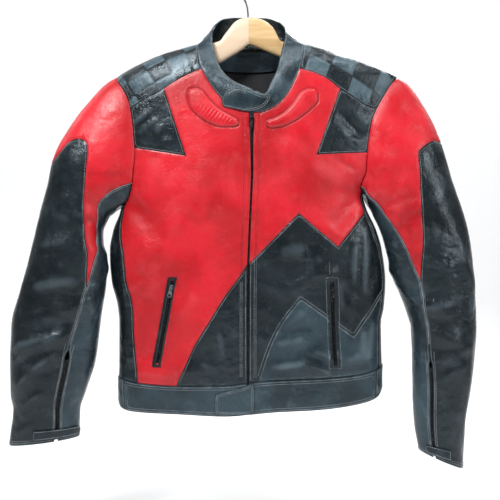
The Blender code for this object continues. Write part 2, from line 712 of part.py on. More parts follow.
def panel(name, chart, outline, colour, outer=0.0, inner=-LEATHER, holes=(), steps=None, mitres=()):
    """A closed wall on a surface inside an outline.

    outer and inner are lifts in mm, numbers or functions of (raw points, rim distance). mitres
    gives the neighbour's normals at rim points, for walls that meet at an angle; where the angle
    is a deep hollow, as under the arm, each wall keeps its own.
    """
    across_step, along_step = steps or (ACROSS_STEP, ALONG_STEP)
    loops = [np.asarray(outline, float)] + [np.asarray(hole, float) for hole in holes]
    flats = [chart.flat(loop) for loop in loops]
    for i, flat in enumerate(flats):
        want = 1.0 if i == 0 else -1.0
        if area_sign(flat) != want:
            loops[i], flats[i] = loops[i][::-1], flat[::-1]
    faces, extra = fill(flats[0], flats[1:], across_step, along_step)
    rim = np.concatenate(loops)
    raw = np.concatenate([rim, chart.raw(extra)]) if len(extra) else rim
    flat = np.concatenate(flats + [extra]) if len(extra) else np.concatenate(flats)
    a, b = raw[:, 0], raw[:, 1]
    skin = chart.surface.skin(a, b)
    normals = chart.surface.normal(a, b)
    gap = np.full((len(rim), 1), SEAM_GAP / 2)
    for spots, others in mitres:
        for spot, other in zip(spots, others):
            hit = np.where((np.abs(rim - spot) < 1e-6).all(axis=1))[0]
            for i in hit:
                gap[i] = MITRE_GAP / 2
                if normals[i] @ other > 0.4:
                    mean = normals[i] + other
                    length = np.linalg.norm(mean)
                    normals[i] = mean / length * (2 / length)
    corners = skin[faces[:, :3]]
    facing = np.cross(corners[:, 1] - corners[:, 0], corners[:, 2] - corners[:, 0])
    sign = 1.0 if (facing * normals[faces[:, 0]]).sum() > 0 else -1.0
    counts = [len(loop) for loop in loops]
    winding = 1.0 if area_sign(flats[0][:, :2]) > 0 else -1.0
    a0, a1, a2 = flat[faces[0]]
    tri = (a1[0] - a0[0]) * (a2[1] - a0[1]) - (a1[1] - a0[1]) * (a2[0] - a0[0])
    shared = skin[:len(rim)].copy()
    into = inset_directions(skin[:len(rim)], normals[:len(rim)], counts, sign * np.sign(tri) * winding)
    skin[:len(rim)] += into * gap
    depth = np.zeros(len(raw))
    if len(extra):
        depth[len(rim):] = edge_distance(flats[0], extra)
    high = outer(raw, depth) if callable(outer) else outer + 0 * a
    low = inner(raw, depth) if callable(inner) else inner + 0 * a
    top = skin + normals * high[:, None]
    under = skin + normals * low[:, None]
    total = len(raw)
    order = [tuple(spot) for spot in np.round(shared, 3)]
    if sign < 0:
        faces = faces[:, ::-1]
    shell = [tuple(f) for f in faces] + [tuple(total + v for v in f[::-1]) for f in faces]
    used = {}
    for f in faces:
        for i in range(3):
            used[(f[i], f[(i + 1) % 3])] = True
    start = 0
    for count in counts:
        for i in range(count):
            p, q = start + i, start + (i + 1) % count
            if (p, q) in used:
                p, q = q, p
            if order[p] < order[q]:
                shell += [(p, q, total + q), (p, total + q, total + p)]
            else:
                shell += [(p, q, total + p), (q, total + q, total + p)]
        start += count
    return make_object(name, np.concatenate([top, under]), shell, colour)


def strip(name, chart, path, section, colour, ends=(0.0, 0.0)):
    """Sweeps a section of (across, lift) rows along a path of flat chart points."""
    path = np.asarray(path, float)
    runs = np.gradient(path, axis=0)
    runs /= np.linalg.norm(runs, axis=1, keepdims=True)
    side = np.stack([-runs[:, 1], runs[:, 0]], -1)
    path = path + runs * np.linspace(ends[0], -ends[1], len(path))[:, None]
    points = []
    for across, lift in section:
        raw = chart.raw(path + side * across)
        skin = chart.surface.skin(raw[:, 0], raw[:, 1])
        points.append(skin + chart.surface.normal(raw[:, 0], raw[:, 1]) * lift)
    return tube_object(name, np.stack(points, axis=1), colour)


def tube_object(name, rings, colour):
    """A closed solid through rings of points, its ends filled as fans."""
    count, sides = rings.shape[:2]
    points = rings.reshape(-1, 3)
    faces = []
    for i in range(count - 1):
        for k in range(sides):
            p, q = i * sides + k, i * sides + (k + 1) % sides
            faces += [(p, q, q + sides), (p, q + sides, p + sides)]
    corners = [Vector((float(v[0]), float(v[1]), float(v[2]))) for v in rings[0]]
    cap = fan_faces(corners)
    faces += [tuple(reversed(face)) for face in cap]
    last = (count - 1) * sides
    faces += [tuple(last + v for v in face) for face in cap]
    volume = sum(np.dot(points[f[0]], np.cross(points[f[1]], points[f[2]])) for f in faces)
    if volume < 0:
        faces = [face[::-1] for face in faces]
    return make_object(name, points, faces, colour)


def fan_faces(corners):
    """Triangles of one flat loop, which may be hollowed."""
    return [tuple(face) for face in tessellate_polygon([corners])]


# ---------------------------------------------------------------- shared seams of the body
def zip_edge(drops, side):
    gap = smooth(FRONT_ZIP, 2, drops) / 2
    return smooth(FRONT_ZIP, 1, drops) + side * gap


def zip_run(side, low, high):
    """Front edge beside the zip between two drops."""
    drops = resample([(0, low), (0, high)])[:, 1]
    return seen(np.stack([zip_edge(drops, side), drops], -1))


def neck_zip_turn(side):
    """Turn at which the neck seam reaches the front edge beside the zip."""
    turns = np.linspace(170, 180, 201)
    rows = NECK_LEFT if side < 0 else NECK_RIGHT
    miss = np.abs(smooth(rows[4:], 1, turns) - zip_edge(252.0, side))
    return float(turns[np.argmin(miss)])


def neck_turns(side):
    """Shared turns along one half of the neck seam."""
    stops = [0, NECK_BACK_YOKE, 90, NECK_YOKE, neck_zip_turn(side)]
    turns = []
    for low, high in zip(stops, stops[1:]):
        count = max(1, round((high - low) / 12))
        turns += [low + (high - low) * i / count for i in range(count)]
    return np.array(turns + [stops[-1]])


NECK_YOKE, NECK_BACK_YOKE = 137.0, 75.0


def neck_run(side, start, end):
    turns = neck_turns(side)
    low, high = min(start, end), max(start, end)
    picked = turns[(turns >= low - 1e-6) & (turns <= high + 1e-6)]
    return side * (picked if start < end else picked[::-1])


def side_angle(side, drop, front=True):
    if not front:
        rows = SIDE_BACK
    else:
        rows = SIDE_LEFT if side < 0 else SIDE_RIGHT
    return angle_from_depth(smooth(rows, 1, drop), drop, side, front)


def band_edge(rows, angles):
    turned = (angles + 180) % 360 - 180
    return np.stack([angles, smooth(rows, 1, turned)], -1)


def band_drop(angle):
    return float(smooth(BAND_TOP, 1, angle))


def side_foot(side, front=True):
    """Where a side seam meets the waistband."""
    drop = 720.0
    for _ in range(12):
        drop = band_drop(float(side_angle(side, drop, front)))
    return drop


def side_run(side, start, end, front=True):
    drops = resample([(0, start), (0, end)], ALONG_STEP)[:, 1]
    return np.stack([side_angle(side, drops, front), drops], -1)


def to_armhole(side, turn, run):
    """Bends the start of a side seam to the armhole point at a turn."""
    run = run.copy()
    run[0] = armhole(side, turn)
    return run


def band_angles(start, end):
    """Shared angles along the waistband's edges."""
    stops = {-180.0, 180.0, BAND_JOINT_LEFT, BAND_JOINT_RIGHT}
    for side in (-1, 1):
        for front in (True, False):
            stops.add(round(float(side_angle(side, side_foot(side, front), front)), 6))
    for x in (DIAGONAL[-1][0], zip_x_at_band(-1), zip_x_at_band(1), FOOT_2[0]):
        stops.add(round(band_angle_at(x), 6))
    stops = sorted(stops)
    angles = []
    for low, high in zip(stops, stops[1:]):
        count = max(1, round((high - low) / 8.5))
        angles += [low + (high - low) * i / count for i in range(count)]
    angles = np.array(angles + [180.0])
    angles = np.concatenate([angles[:-1], angles + 360])
    low, high = min(start, end), max(start, end)
    picked = angles[(angles >= low - 1e-4) & (angles <= high + 1e-4)]
    return picked if start < end else picked[::-1]


def zip_x_at_band(side):
    return float(zip_edge(np.array(722.0), side))


def band_angle_at(x):
    """Angle where the waistband's top edge is seen at x in front."""
    drop = 722.0
    for _ in range(12):
        angle = float(angle_from_x(x, drop))
        drop = band_drop(angle)
    return angle


def band_run(rows, start, end):
    return band_edge(rows, band_angles(start, end))


def armhole_points(side, start, end):
    return armhole(side, armhole_run(side, start, end))


def sleeve_mitres(side):
    """Armhole spots on the torso and the sleeve's normals there."""
    turns = armhole_turns(side)
    skin = sleeve_skin(side)
    return armhole(side, turns), skin.normal(turns, 0 * turns)


def torso_mitres_for_sleeve(side):
    turns = np.concatenate([armhole_turns(side) - 360, armhole_turns(side)])
    seam = armhole(side, turns)
    spots = np.stack([turns, 0 * turns], -1)
    return spots, TORSO_SKIN.normal(seam[:, 0], seam[:, 1])


def all_neck_turns():
    return np.concatenate([-neck_turns(-1)[:0:-1], neck_turns(1)])


def collar_mitres():
    """Neck spots on the torso and the collar's normals there."""
    turns = all_neck_turns()
    return neck(turns), COLLAR_SKIN.normal(turns, 0 * turns)


def build_body():
    torso = {centre: TubeChart(TORSO_SKIN, centre) for centre in (0, 180, -90, 90)}
    mitre = {-1: sleeve_mitres(-1), 1: sleeve_mitres(1)}
    neck_mitre = collar_mitres()
    arm = {-1: (62, 98, 165), 1: (65, 108, 165)}

    # points where seams meet
    zip_left = seen([(float(zip_edge(np.array(CENTRE[0]), -1)), CENTRE[0])])
    zip_right = seen([(float(zip_edge(np.array(CENTRE[0]), 1)), CENTRE[0])])
    yokes, inserts_top = {}, {}
    for side, inner, top in ((-1, YOKE_LEFT, INSERT_TOP_LEFT), (1, YOKE_RIGHT, INSERT_TOP_RIGHT)):
        start = as_seen(neck(np.array(side * NECK_YOKE)))
        end = as_seen(armhole(side, float(arm[side][0])))
        k = inner.index(top)
        first = resample([start, *inner[:k + 1]])
        second = resample([top, *inner[k + 1:], end])
        yokes[side] = (seen(first), seen(second))
        inserts_top[side] = top

    # chest inserts and check yokes
    for side, label, foot in ((-1, "left", INSERT_FOOT_LEFT), (1, "right", INSERT_FOOT_RIGHT)):
        corner = as_seen(armhole(side, float(arm[side][1])))
        inner_edge = seen(resample([inserts_top[side], foot]))
        lower_edge = seen(resample([foot, corner]))
        lower_edge[-1] = armhole(side, float(arm[side][1]))
        second = yokes[side][1].copy()
        second[-1] = armhole(side, float(arm[side][0]))
        yokes[side] = (yokes[side][0], second, inner_edge, lower_edge)
        outline = join(second, armhole_points(side, arm[side][0], arm[side][1]),
                       lower_edge[::-1], inner_edge[::-1])
        panel("insert_" + label, torso[0], outline, "black", mitres=[mitre[side]])
        first = yokes[side][0].copy()
        first[0] = neck(np.array(side * NECK_YOKE))
        yokes[side] = (first, *yokes[side][1:])
        behind = back_yoke_run(side)
        outline = join(first, second, armhole_points(side, arm[side][0], -48), behind,
                       neck(neck_run(side, NECK_BACK_YOKE, NECK_YOKE)))
        panel("yoke_" + label, RidgeChart(), outline, "check", mitres=[mitre[side], neck_mitre])

    # left front
    foot_angle = float(side_angle(-1, side_foot(-1)))
    side_front = to_armhole(-1, 165, side_run(-1, 412, side_foot(-1)))
    diagonal_angle = band_angle_at(DIAGONAL[-1][0])
    zip_angle = {side: band_angle_at(zip_x_at_band(side)) for side in (-1, 1)}
    diagonal = seen(resample([as_seen(zip_left[0]), *DIAGONAL]))
    diagonal[0] = zip_left[0]
    diagonal[-1] = band_edge(BAND_TOP, np.array([diagonal_angle]))[0]
    first, second, inner_edge, lower_edge = yokes[-1]
    outline = join(
        neck(neck_run(-1, neck_zip_turn(-1), NECK_YOKE)), first, inner_edge, lower_edge,
        armhole_points(-1, arm[-1][1], 165), side_front,
        band_run(BAND_TOP, foot_angle, diagonal_angle), diagonal[::-1],
        zip_run_to(-1, CENTRE[0], zip_left[0]),
    )
    slot = pocket_slot(POCKET_LEFT)
    panel("front_left_red", torso[0], outline, "red", holes=[slot], mitres=[mitre[-1], neck_mitre])
    outline = join(diagonal, band_run(BAND_TOP, diagonal_angle, zip_angle[-1]), zip_low(-1))
    panel("front_left_black", torso[0], outline, "black")

    # right front
    side_right = to_armhole(1, 165, side_run(1, 392, END_1))
    side_middle = side_run(1, END_1, END_2)
    side_low = side_run(1, END_2, side_foot(1))
    first, second, inner_edge, lower_edge = yokes[1]
    end_1 = as_seen(side_right[-1])
    end_2 = as_seen(side_middle[-1])
    zigzag_1 = [resample([as_seen(zip_right[0]), PEAK_1]), resample([PEAK_1, VALLEY_1]),
                resample([VALLEY_1, end_1])]
    zigzag_1 = [seen(run) for run in zigzag_1]
    zigzag_1[0][0] = zip_right[0]
    zigzag_1[2][-1] = side_right[-1]
    outline = join(
        neck(neck_run(1, neck_zip_turn(1), NECK_YOKE)), first, inner_edge, lower_edge,
        armhole_points(1, arm[1][1], 165), side_right,
        zigzag_1[2][::-1], zigzag_1[1][::-1], zigzag_1[0][::-1],
        zip_run_to(1, CENTRE[0], zip_right[0]),
    )
    panel("front_right_red", torso[0], outline, "red", mitres=[mitre[1], neck_mitre])
    foot_2 = band_angle_at(FOOT_2[0])
    rise = seen(resample([FOOT_2, *RISE_2, PEAK_2]))
    rise[0] = band_edge(BAND_TOP, np.array([foot_2]))[0]
    fall_above, fall_below = zigzag_round_slot(POCKET_RIGHT)
    climb = seen(resample([VALLEY_2, end_2]))
    climb[-1] = side_middle[-1]
    outline = join(
        zigzag_1[0], zigzag_1[1], zigzag_1[2], side_middle, climb[::-1], fall_above[::-1], rise[::-1],
        band_run(BAND_TOP, foot_2, zip_angle[1]), zip_low(1),
    )
    panel("front_right_black", torso[0], outline, "black")
    angle = float(side_angle(1, side_foot(1)))
    outline = join(rise, fall_below, climb, side_low,
                   band_run(BAND_TOP, angle, foot_2))
    panel("front_right_grey", torso[0], outline, "slate")

    # sides and back
    for side, label, start in ((-1, "left", 412), (1, "right", 392)):
        angle = float(side_angle(side, side_foot(side)))
        angle_back = float(side_angle(side, side_foot(side, False), False))
        behind = to_armhole(side, 195, side_run(side, start, side_foot(side, False), False))
        if side < 0:
            front = side_front
        else:
            front = np.concatenate([side_right, side_middle[1:], side_low[1:]])
        outline = join(armhole_points(side, 165, 195), behind,
                       band_run(BAND_TOP, angle_back, angle), front[::-1])
        panel("side_" + label, torso[90 * side], outline, "black", mitres=[mitre[side]])
    left = to_armhole(-1, 195, side_run(-1, 412, side_foot(-1, False), False))
    right = to_armhole(1, 195, side_run(1, 392, side_foot(1, False), False))
    a_left = float(side_angle(-1, side_foot(-1, False), False))
    a_right = float(side_angle(1, side_foot(1, False), False))
    outline = join(
        neck(neck_run(-1, NECK_BACK_YOKE, 0)), neck(neck_run(1, 0, NECK_BACK_YOKE)),
        back_yoke_run(1)[::-1], armhole_points(1, 312, 195), right,
        band_run(BAND_TOP, a_right, 360 + a_left), left[::-1],
        armhole_points(-1, 195, 312), back_yoke_run(-1),
    )
    panel("back", torso[180], outline, "black", mitres=[mitre[-1], mitre[1], neck_mitre])


def back_yoke_run(side):
    """From the armhole to the neck seam, behind the ridge."""
    start = armhole(side, 312.0)
    end = neck(np.array(side * NECK_BACK_YOKE))
    first, last = as_seen(start), as_seen(end)
    middle = side * 150.0
    ridge = np.interp(150, smooth(TORSO, 1 if side < 0 else 2, np.linspace(112, 180, 60)),
                      np.linspace(112, 180, 60))
    run = seen(resample([first, (middle, ridge + YOKE_BACK_DROP), last]), False)
    run[0], run[-1] = start, end
    return run


def zip_run_to(side, low, foot):
    """Front edge from the meeting point up to the neck seam."""
    end = neck(np.array(side * neck_zip_turn(side)))
    run = zip_run(side, low, as_seen(end)[1])
    run[0] = foot
    run[-1] = end
    return run


def zip_low(side):
    """Front edge from the waistband up to the colour seams' meeting point."""
    angle = band_angle_at(zip_x_at_band(side))
    drop = band_drop(angle)
    run = zip_run(side, drop, CENTRE[0])
    run[0] = (angle, drop)
    return run


def pocket_slot(pocket):
    """Outline of the slot that a pocket zip lies in, clockwise as seen."""
    (x0, d0), (x1, d1), width = pocket
    half = width / 2
    left = resample([(x0 - half, d0), (x1 - half, d1)])
    right = resample([(x1 + half, d1), (x0 + half, d0)])
    return seen(np.concatenate([left, right]))


def crossing(p, q, r, s):
    """Where the lines p-q and r-s meet."""
    p, q, r, s = (np.array(v, float) for v in (p, q, r, s))
    share = np.cross(r - p, s - r) / np.cross(q - p, s - r)
    return tuple(p + (q - p) * share)


def zigzag_round_slot(pocket):
    """The falling zigzag edge, which the right pocket's slot crosses.

    Gives the edge for the panel above it and for the panel below it, each round its own part of
    the slot, both from the peak to the valley.
    """
    (x0, d0), (x1, d1), width = pocket
    half = width / 2
    corners = [(x0 - half, d0), (x1 - half, d1), (x1 + half, d1), (x0 + half, d0)]
    near = crossing(PEAK_2, VALLEY_2, corners[0], corners[1])
    far = crossing(PEAK_2, VALLEY_2, corners[3], corners[2])
    first, last = resample([PEAK_2, near]), resample([far, VALLEY_2])
    sides = [[near, corners[0], corners[3], far], [near, corners[1], corners[2], far]]
    edges = []
    for a, b, c, d in sides:
        run = [first, resample([a, b])[1:], resample([b, c])[1:], resample([c, d])[1:], last[1:]]
        edges.append(seen(np.concatenate(run)))
    return edges


def build_sleeve(side, label):
    skin = sleeve_skin(side)
    left = side < 0
    cap = resample(CAP_LEFT if left else CAP_RIGHT)
    under = resample(UNDER_LEFT if left else UNDER_RIGHT)
    fore = FOREARM_LEFT if left else FOREARM_RIGHT
    length = sleeve_length(side)
    zip_top = CUFF_ZIP_TOP_LEFT if left else CUFF_ZIP_TOP_RIGHT
    forearm = resample([*fore[:-1], (fore[-1][0], length)])
    mirrored = [np.stack([-run[:, 0], run[:, 1]], -1) for run in (cap, under, forearm)]
    meet = float(under[0][0])
    spots = torso_mitres_for_sleeve(side)

    turns = armhole_run(side, -meet, meet)
    ring = np.stack([turns, 0 * turns], -1)
    outline = join(ring, under, cap, mirrored[0][::-1], mirrored[1][::-1])
    panel(f"sleeve_{label}_red", TubeChart(skin, 0), outline, "red", mitres=[spots])

    def beside_zip(run, shift):
        turned = run.copy()
        turned[:, 0] += shift * ease((run[:, 1] - zip_top) / 8)
        return turned

    cuff = cuff_turns(meet_angle=float(forearm[-1][0]), shift=CUFF_ZIP_OPEN)
    front = beside_zip(forearm, -CUFF_ZIP_OPEN)
    ring = np.stack([cuff["outer"], length + 0 * cuff["outer"]], -1)
    outline = join(cap[::-1], front, ring, mirrored[2][::-1], mirrored[0])
    panel(f"sleeve_{label}_outer", TubeChart(skin, 0), outline, "black")
    front = beside_zip(forearm, CUFF_ZIP_OPEN)
    turns = armhole_run(side, meet, 360 - meet)
    top = np.stack([turns, 0 * turns], -1)
    low = np.stack([cuff["under"], length + 0 * cuff["under"]], -1)
    behind = [run + np.array([360, 0]) for run in mirrored]
    outline = join(top, behind[1], behind[2], low[::-1], front[::-1], under[::-1])
    panel(f"sleeve_{label}_under", TubeChart(skin, 180), outline, "slate", mitres=[spots])

    chart = TubeChart(skin, 90)
    line = forearm[forearm[:, 1] > zip_top + 12].copy()
    line[-1, 1] -= 3
    strip(f"cuff_zip_{label}", chart, chart.flat(line), zip_section(1.2), "zip")
    cuff_strap(side, label, chart, length)


def cuff_turns(meet_angle, shift):
    """Turns along the cuff's edge for the outer and the under panel."""
    outer = np.linspace(meet_angle - shift, -meet_angle, 13)
    under = np.linspace(meet_angle + shift, 360 - meet_angle, 10)
    return {"outer": outer, "under": under}


def cuff_strap(side, label, chart, length):
    """A short leather strap across the foot of the cuff zip, with one round end."""
    if side < 0:
        start, end, low, high = 76, 160, length - 24, length - 6
    else:
        start, end, low, high = 72, 125, length - 24, length - 6
    first, last = chart.flat(np.array([[start, low], [end, low]], float))[:, 0]
    middle, radius = (low + high) / 2, (high - low) / 2
    arc = [(last + radius * math.sin(t), middle - radius * math.cos(t))
           for t in np.linspace(0, math.pi, 6)]
    top = resample([(first, low), (last, low)], 8)
    foot = resample([(last, high), (first, high)], 8)
    outline = np.concatenate([top[:-1], arc, foot[1:]])
    panel(f"cuff_strap_{label}", chart, chart.raw(outline), "black", outer=3.0, inner=1.0,
          steps=(9, 9))


def build_collar():
    chart = TubeChart(COLLAR_SKIN, 0)
    turns = all_neck_turns()
    torso_seam = neck(turns)
    seam_normals = TORSO_SKIN.normal(torso_seam[:, 0], torso_seam[:, 1])
    low = np.stack([turns, 0 * turns], -1)
    high = np.stack([turns, COLLAR_RISE + 0 * turns], -1)
    end_left = resample([(turns[0], COLLAR_RISE), (turns[0], 0)], 15)
    end_right = resample([(turns[-1], 0), (turns[-1], COLLAR_RISE)], 15)
    outline = join(low, end_right, high[::-1], end_left)
    panel("collar_band", chart, outline, "slate", inner=-DOUBLE, steps=(16, 15),
          mitres=[(low, seam_normals)])
    chart = SheetChart(Surface(collar_tab_base, None, -1.0))
    outline = resample([*COLLAR_TAB, COLLAR_TAB[0]], 10)[:-1]
    panel("collar_tab", chart, outline, "slate", outer=2.7, inner=0.6, steps=(13, 13))


def build_inside():
    """Facing, hanging loop and the lining that shows through the neck."""
    chart = TubeChart(TORSO_SKIN, 180)
    drop = -LEATHER - 2.4
    top = resample([(-60, 127.5), (0, 128), (61, 127.5)], 14)
    foot = resample([(61, 127.5), (64, 139), (65, 149), (57, 158), (30, 163), (0, 164), (-30, 163),
                     (-57, 158), (-64, 149), (-62, 139), (-60, 127.5)], 14)
    outline = seen(np.concatenate([top[:-1], foot[:-1]]), False)
    panel("neck_facing", chart, outline, "slate", outer=drop, inner=drop - 1.4, steps=(16, 14))
    low = resample([(68, 154), (60, 162), (30, 167), (0, 168), (-30, 167), (-60, 162), (-68, 154)], 16)
    rest = resample([(-68, 154), (-84, 176), (-88, 215), (-76, 270), (0, 278), (76, 270), (88, 215),
                     (84, 176), (68, 154)], 20)
    outline = seen(np.concatenate([low[:-1], rest[:-1]]), False)
    panel("back_lining", chart, outline, "lining", outer=drop + 0.7, inner=drop - 0.5)
    outline = seen(resample([(-20, 130), (22, 130)], 12), False)
    outline = np.concatenate([outline, seen(resample([(22, 137), (-20, 137)], 12), False)])
    panel("hang_loop", chart, outline, "black", outer=drop - 1.9, inner=drop - 3.3, steps=(12, 12))


def build_pads():
    chart = TubeChart(TORSO_SKIN, 0)
    for label, points in (("left", PAD_LEFT), ("right", PAD_RIGHT)):
        closed = [*points, points[0]]
        outline = seen(resample(closed, 15)[:-1])
        panel("chest_pad_" + label, chart, outline, "red", inner=0.5, steps=(9, 9),
              outer=lambda raw, depth: 1.3 + (PAD_CROWN - 1.3) * ease(depth / 12) ** 0.8)


def build_band():
    chart_front = TubeChart(TORSO_SKIN, 0)
    chart_back = TubeChart(TORSO_SKIN, 180)
    left_zip = band_angle_at(zip_x_at_band(-1))
    right_zip = band_angle_at(zip_x_at_band(1))
    inner = PROUD - DOUBLE

    def end_run(angle, rows_from, rows_to):
        low, high = (float(smooth(rows, 1, angle)) for rows in (rows_from, rows_to))
        return resample([(angle, low), (angle, high)], 30)

    outline = join(band_run(BAND_TOP, BAND_JOINT_LEFT, left_zip),
                   end_run(left_zip, BAND_TOP, BAND_BOTTOM),
                   band_run(BAND_BOTTOM, left_zip, BAND_JOINT_LEFT),
                   end_run(BAND_JOINT_LEFT, BAND_BOTTOM, BAND_TOP))
    panel("band_left", chart_front, outline, "slate", outer=PROUD, inner=inner)
    outline = join(band_run(BAND_TOP, BAND_JOINT_RIGHT, 360 + BAND_JOINT_LEFT),
                   end_run(360 + BAND_JOINT_LEFT - 360, BAND_TOP, BAND_BOTTOM) + np.array([360, 0]),
                   band_run(BAND_BOTTOM, 360 + BAND_JOINT_LEFT, BAND_JOINT_RIGHT),
                   end_run(BAND_JOINT_RIGHT, BAND_BOTTOM, BAND_TOP))
    panel("band_back", chart_back, outline, "slate", outer=PROUD, inner=inner)
    outline = join(band_run(BAND_TOP, right_zip, BAND_JOINT_RIGHT),
                   end_run(BAND_JOINT_RIGHT, BAND_TOP, BAND_BOTTOM),
                   band_run(BAND_BOTTOM, BAND_JOINT_RIGHT, right_zip),
                   end_run(right_zip, BAND_BOTTOM, BAND_TOP))
    panel("band_right", chart_front, outline, "slate", outer=PROUD, inner=inner)
    tab = [(TAB_ROOT, 722), (-12, 731), (-40, 738), (TAB_END, 745), (TAB_END - 1, 762),
           (TAB_END, 779), (-40, 780), (-12, 780), (TAB_ROOT, 776), (TAB_ROOT + 1, 750)]
    panel("band_tab", chart_front, seen(np.array(tab, float)), "slate",
          outer=PROUD + TAB_LIFT + 0.3, inner=PROUD + 0.6, steps=(16, 16))


def zip_section(half, face=TAPE_LIFT):
    """Across and lift of a zip: a flat tape under the leather and the chain standing up in the slot."""
    back = face - 1.0
    return ((-TAPE, back), (TAPE, back), (TAPE, face), (half, face), (half, CHAIN_LIFT),
            (-half, CHAIN_LIFT), (-half, face), (-TAPE, face))


def build_zips():
    chart = TubeChart(TORSO_SKIN, 0)
    drops = np.concatenate([as_seen(zip_run(1, 260, CENTRE[0]))[:, 1],
                            as_seen(zip_run(1, CENTRE[0], 770))[1:, 1]])
    path = seen(np.stack([smooth(FRONT_ZIP, 1, drops), drops], -1))
    strip("front_zip", chart, chart.flat(path), zip_section(CHAIN / 2), "zip")
    for label, ((x0, d0), (x1, d1), _) in (("left", POCKET_LEFT), ("right", POCKET_RIGHT)):
        line = resample([(x0, d0), (x1, d1)])
        line[0] += (line[1] - line[0]) * 0.05
        line[-1] -= (line[1] - line[0]) * 0.05
        section = zip_section(CHAIN / 2, POCKET_TAPE_LIFT)
        strip("pocket_zip_" + label, chart, chart.flat(seen(line)), section, "zip")


# ---------------------------------------------------------------- sliders and pull tabs
SLIDER_LONG = 9.0
SLIDER_WIDE = 6.2
PIN_HEIGHT = 3.5           # the pull's hinge pin above the leather
PIN_RADIUS = 0.55
CHEEK_IN, CHEEK_OUT = 1.7, 2.9
PULL_CLEAR = 4.6           # where the plate starts, clear of the bridge as it turns


def place_frame(x, drop, lean=0.0):
    """Origin on the leather and the axes down, across and out at a point seen in front."""
    raw = seen([(x, drop)])
    origin = TORSO_SKIN.skin(raw[:, 0], raw[:, 1])[0]
    out = TORSO_SKIN.normal(raw[:, 0], raw[:, 1])[0]
    down = np.array([math.sin(math.radians(lean)), 0, -math.cos(math.radians(lean))])
    down = down - out * (down @ out)
    down /= np.linalg.norm(down)
    return origin, down, np.cross(out, down), out


def prism(outline, low, high, hole=None):
    """Points and faces of an outline in (down, across) between two heights, with a hole or none."""
    loops = [np.asarray(loop, float) for loop in (outline, hole) if loop is not None]
    loops = [loop if area_sign(loop) == sign else loop[::-1] for loop, sign in zip(loops, (1.0, -1.0))]
    cap = [tuple(face) for face in fill(loops[0], loops[1:], 1000.0, 1000.0)[0]]
    flat = np.concatenate(loops)
    total = len(flat)
    points = [(d, a, low) for d, a in flat] + [(d, a, high) for d, a in flat]
    faces = [face[::-1] for face in cap] + [tuple(total + v for v in face) for face in cap]
    start = 0
    for loop in loops:
        for i in range(len(loop)):
            p, q = start + i, start + (i + 1) % len(loop)
            faces += [(p, q, total + q), (p, total + q, total + p)]
        start += len(loop)
    return np.array(points, float), faces


def bar(start, end, radius, sides=8):
    """A round bar between two local points along one axis."""
    start, end = np.array(start, float), np.array(end, float)
    run = (end - start) / np.linalg.norm(end - start)
    one = np.cross(run, [0.0, 0.0, 1.0] if abs(run[2]) < 0.9 else [1.0, 0.0, 0.0])
    one /= np.linalg.norm(one)
    two = np.cross(run, one)
    rings = []
    for middle in (start, end):
        for i in range(sides):
            t = 2 * math.pi * i / sides
            rings.append(middle + radius * (math.cos(t) * one + math.sin(t) * two))
    faces = []
    for i in range(sides):
        j = (i + 1) % sides
        faces += [(i, j, sides + j), (i, sides + j, sides + i)]
    for i in range(1, sides - 1):
        faces += [(0, i + 1, i), (sides, sides + i, sides + i + 1)]
    return np.array(rings), faces


def united(name, pieces, frame, colour):
    """Joins overlapping local pieces into one solid with exact unions, in the part's frame."""
    origin, down, across, out = frame
    basis = np.stack([down, across, out], 0)
    made = []
    for i, (points, faces) in enumerate(pieces):
        world = points @ basis + origin
        volume = sum(np.dot(world[f[0]], np.cross(world[f[1]], world[f[2]])) for f in faces)
        if volume < 0:
            faces = [face[::-1] for face in faces]
        made.append(make_object(name if i == 0 else f"{name}_cutter_{i}", world, faces, colour))
    for other in made[1:]:
        other.hide_render = True
        other.display_type = "WIRE"
        union = made[0].modifiers.new(other.name, "BOOLEAN")
        union.operation = "UNION"
        union.solver = "EXACT"
        union.object = other
    return made[0]


def build_slider(label, x, drop, lean, floor, colour, pull_length, pull_wide, hole, pull_colour):
    """A slider on the chain with its bridge, and the pull tab that hinges on it."""
    frame = place_frame(x, drop, lean)
    body = [(-SLIDER_LONG * 0.45, -SLIDER_WIDE * 0.5), (-SLIDER_LONG * 0.45, SLIDER_WIDE * 0.5),
            (SLIDER_LONG * 0.3, SLIDER_WIDE * 0.45), (SLIDER_LONG * 0.55, SLIDER_WIDE * 0.28),
            (SLIDER_LONG * 0.55, -SLIDER_WIDE * 0.28), (SLIDER_LONG * 0.3, -SLIDER_WIDE * 0.45)]
    deck = floor + 1.7
    top = PIN_HEIGHT + PIN_RADIUS + 0.35
    posts = [prism([(d, -1.1), (d, 1.1), (d + 1.4, 1.1), (d + 1.4, -1.1)], deck - 0.4, top + 0.6)
             for d in (-3.2, 1.8)]
    roof = prism([(-3.5, -1.3), (-3.5, 1.3), (3.5, 1.3), (3.5, -1.3)], top, top + 1.1)
    united(label + "_slider", [prism(body, floor, deck), *posts, roof], frame, colour)
    pin = bar((0, -CHEEK_OUT + 0.4, PIN_HEIGHT), (0, CHEEK_OUT - 0.4, PIN_HEIGHT), PIN_RADIUS)
    low, high = PIN_HEIGHT - 0.6, PIN_HEIGHT + 0.6
    cheeks = [prism([(-0.9, s * CHEEK_IN), (-0.9, s * CHEEK_OUT), (PULL_CLEAR + 0.9, s * CHEEK_OUT),
                     (PULL_CLEAR + 0.9, s * CHEEK_IN)], low, high) for s in (-1, 1)]
    half = pull_wide / 2
    eye = PULL_CLEAR + pull_length - half
    rim = [(eye + hole * math.cos(t), hole * math.sin(t)) for t in np.linspace(0, 2 * math.pi, 13)[:-1]]
    plate = prism(pull_outline(half, pull_length), low + 0.1, high - 0.1, rim if hole else None)
    united(label + "_pull", [plate, pin, *cheeks], frame, pull_colour)
    return frame


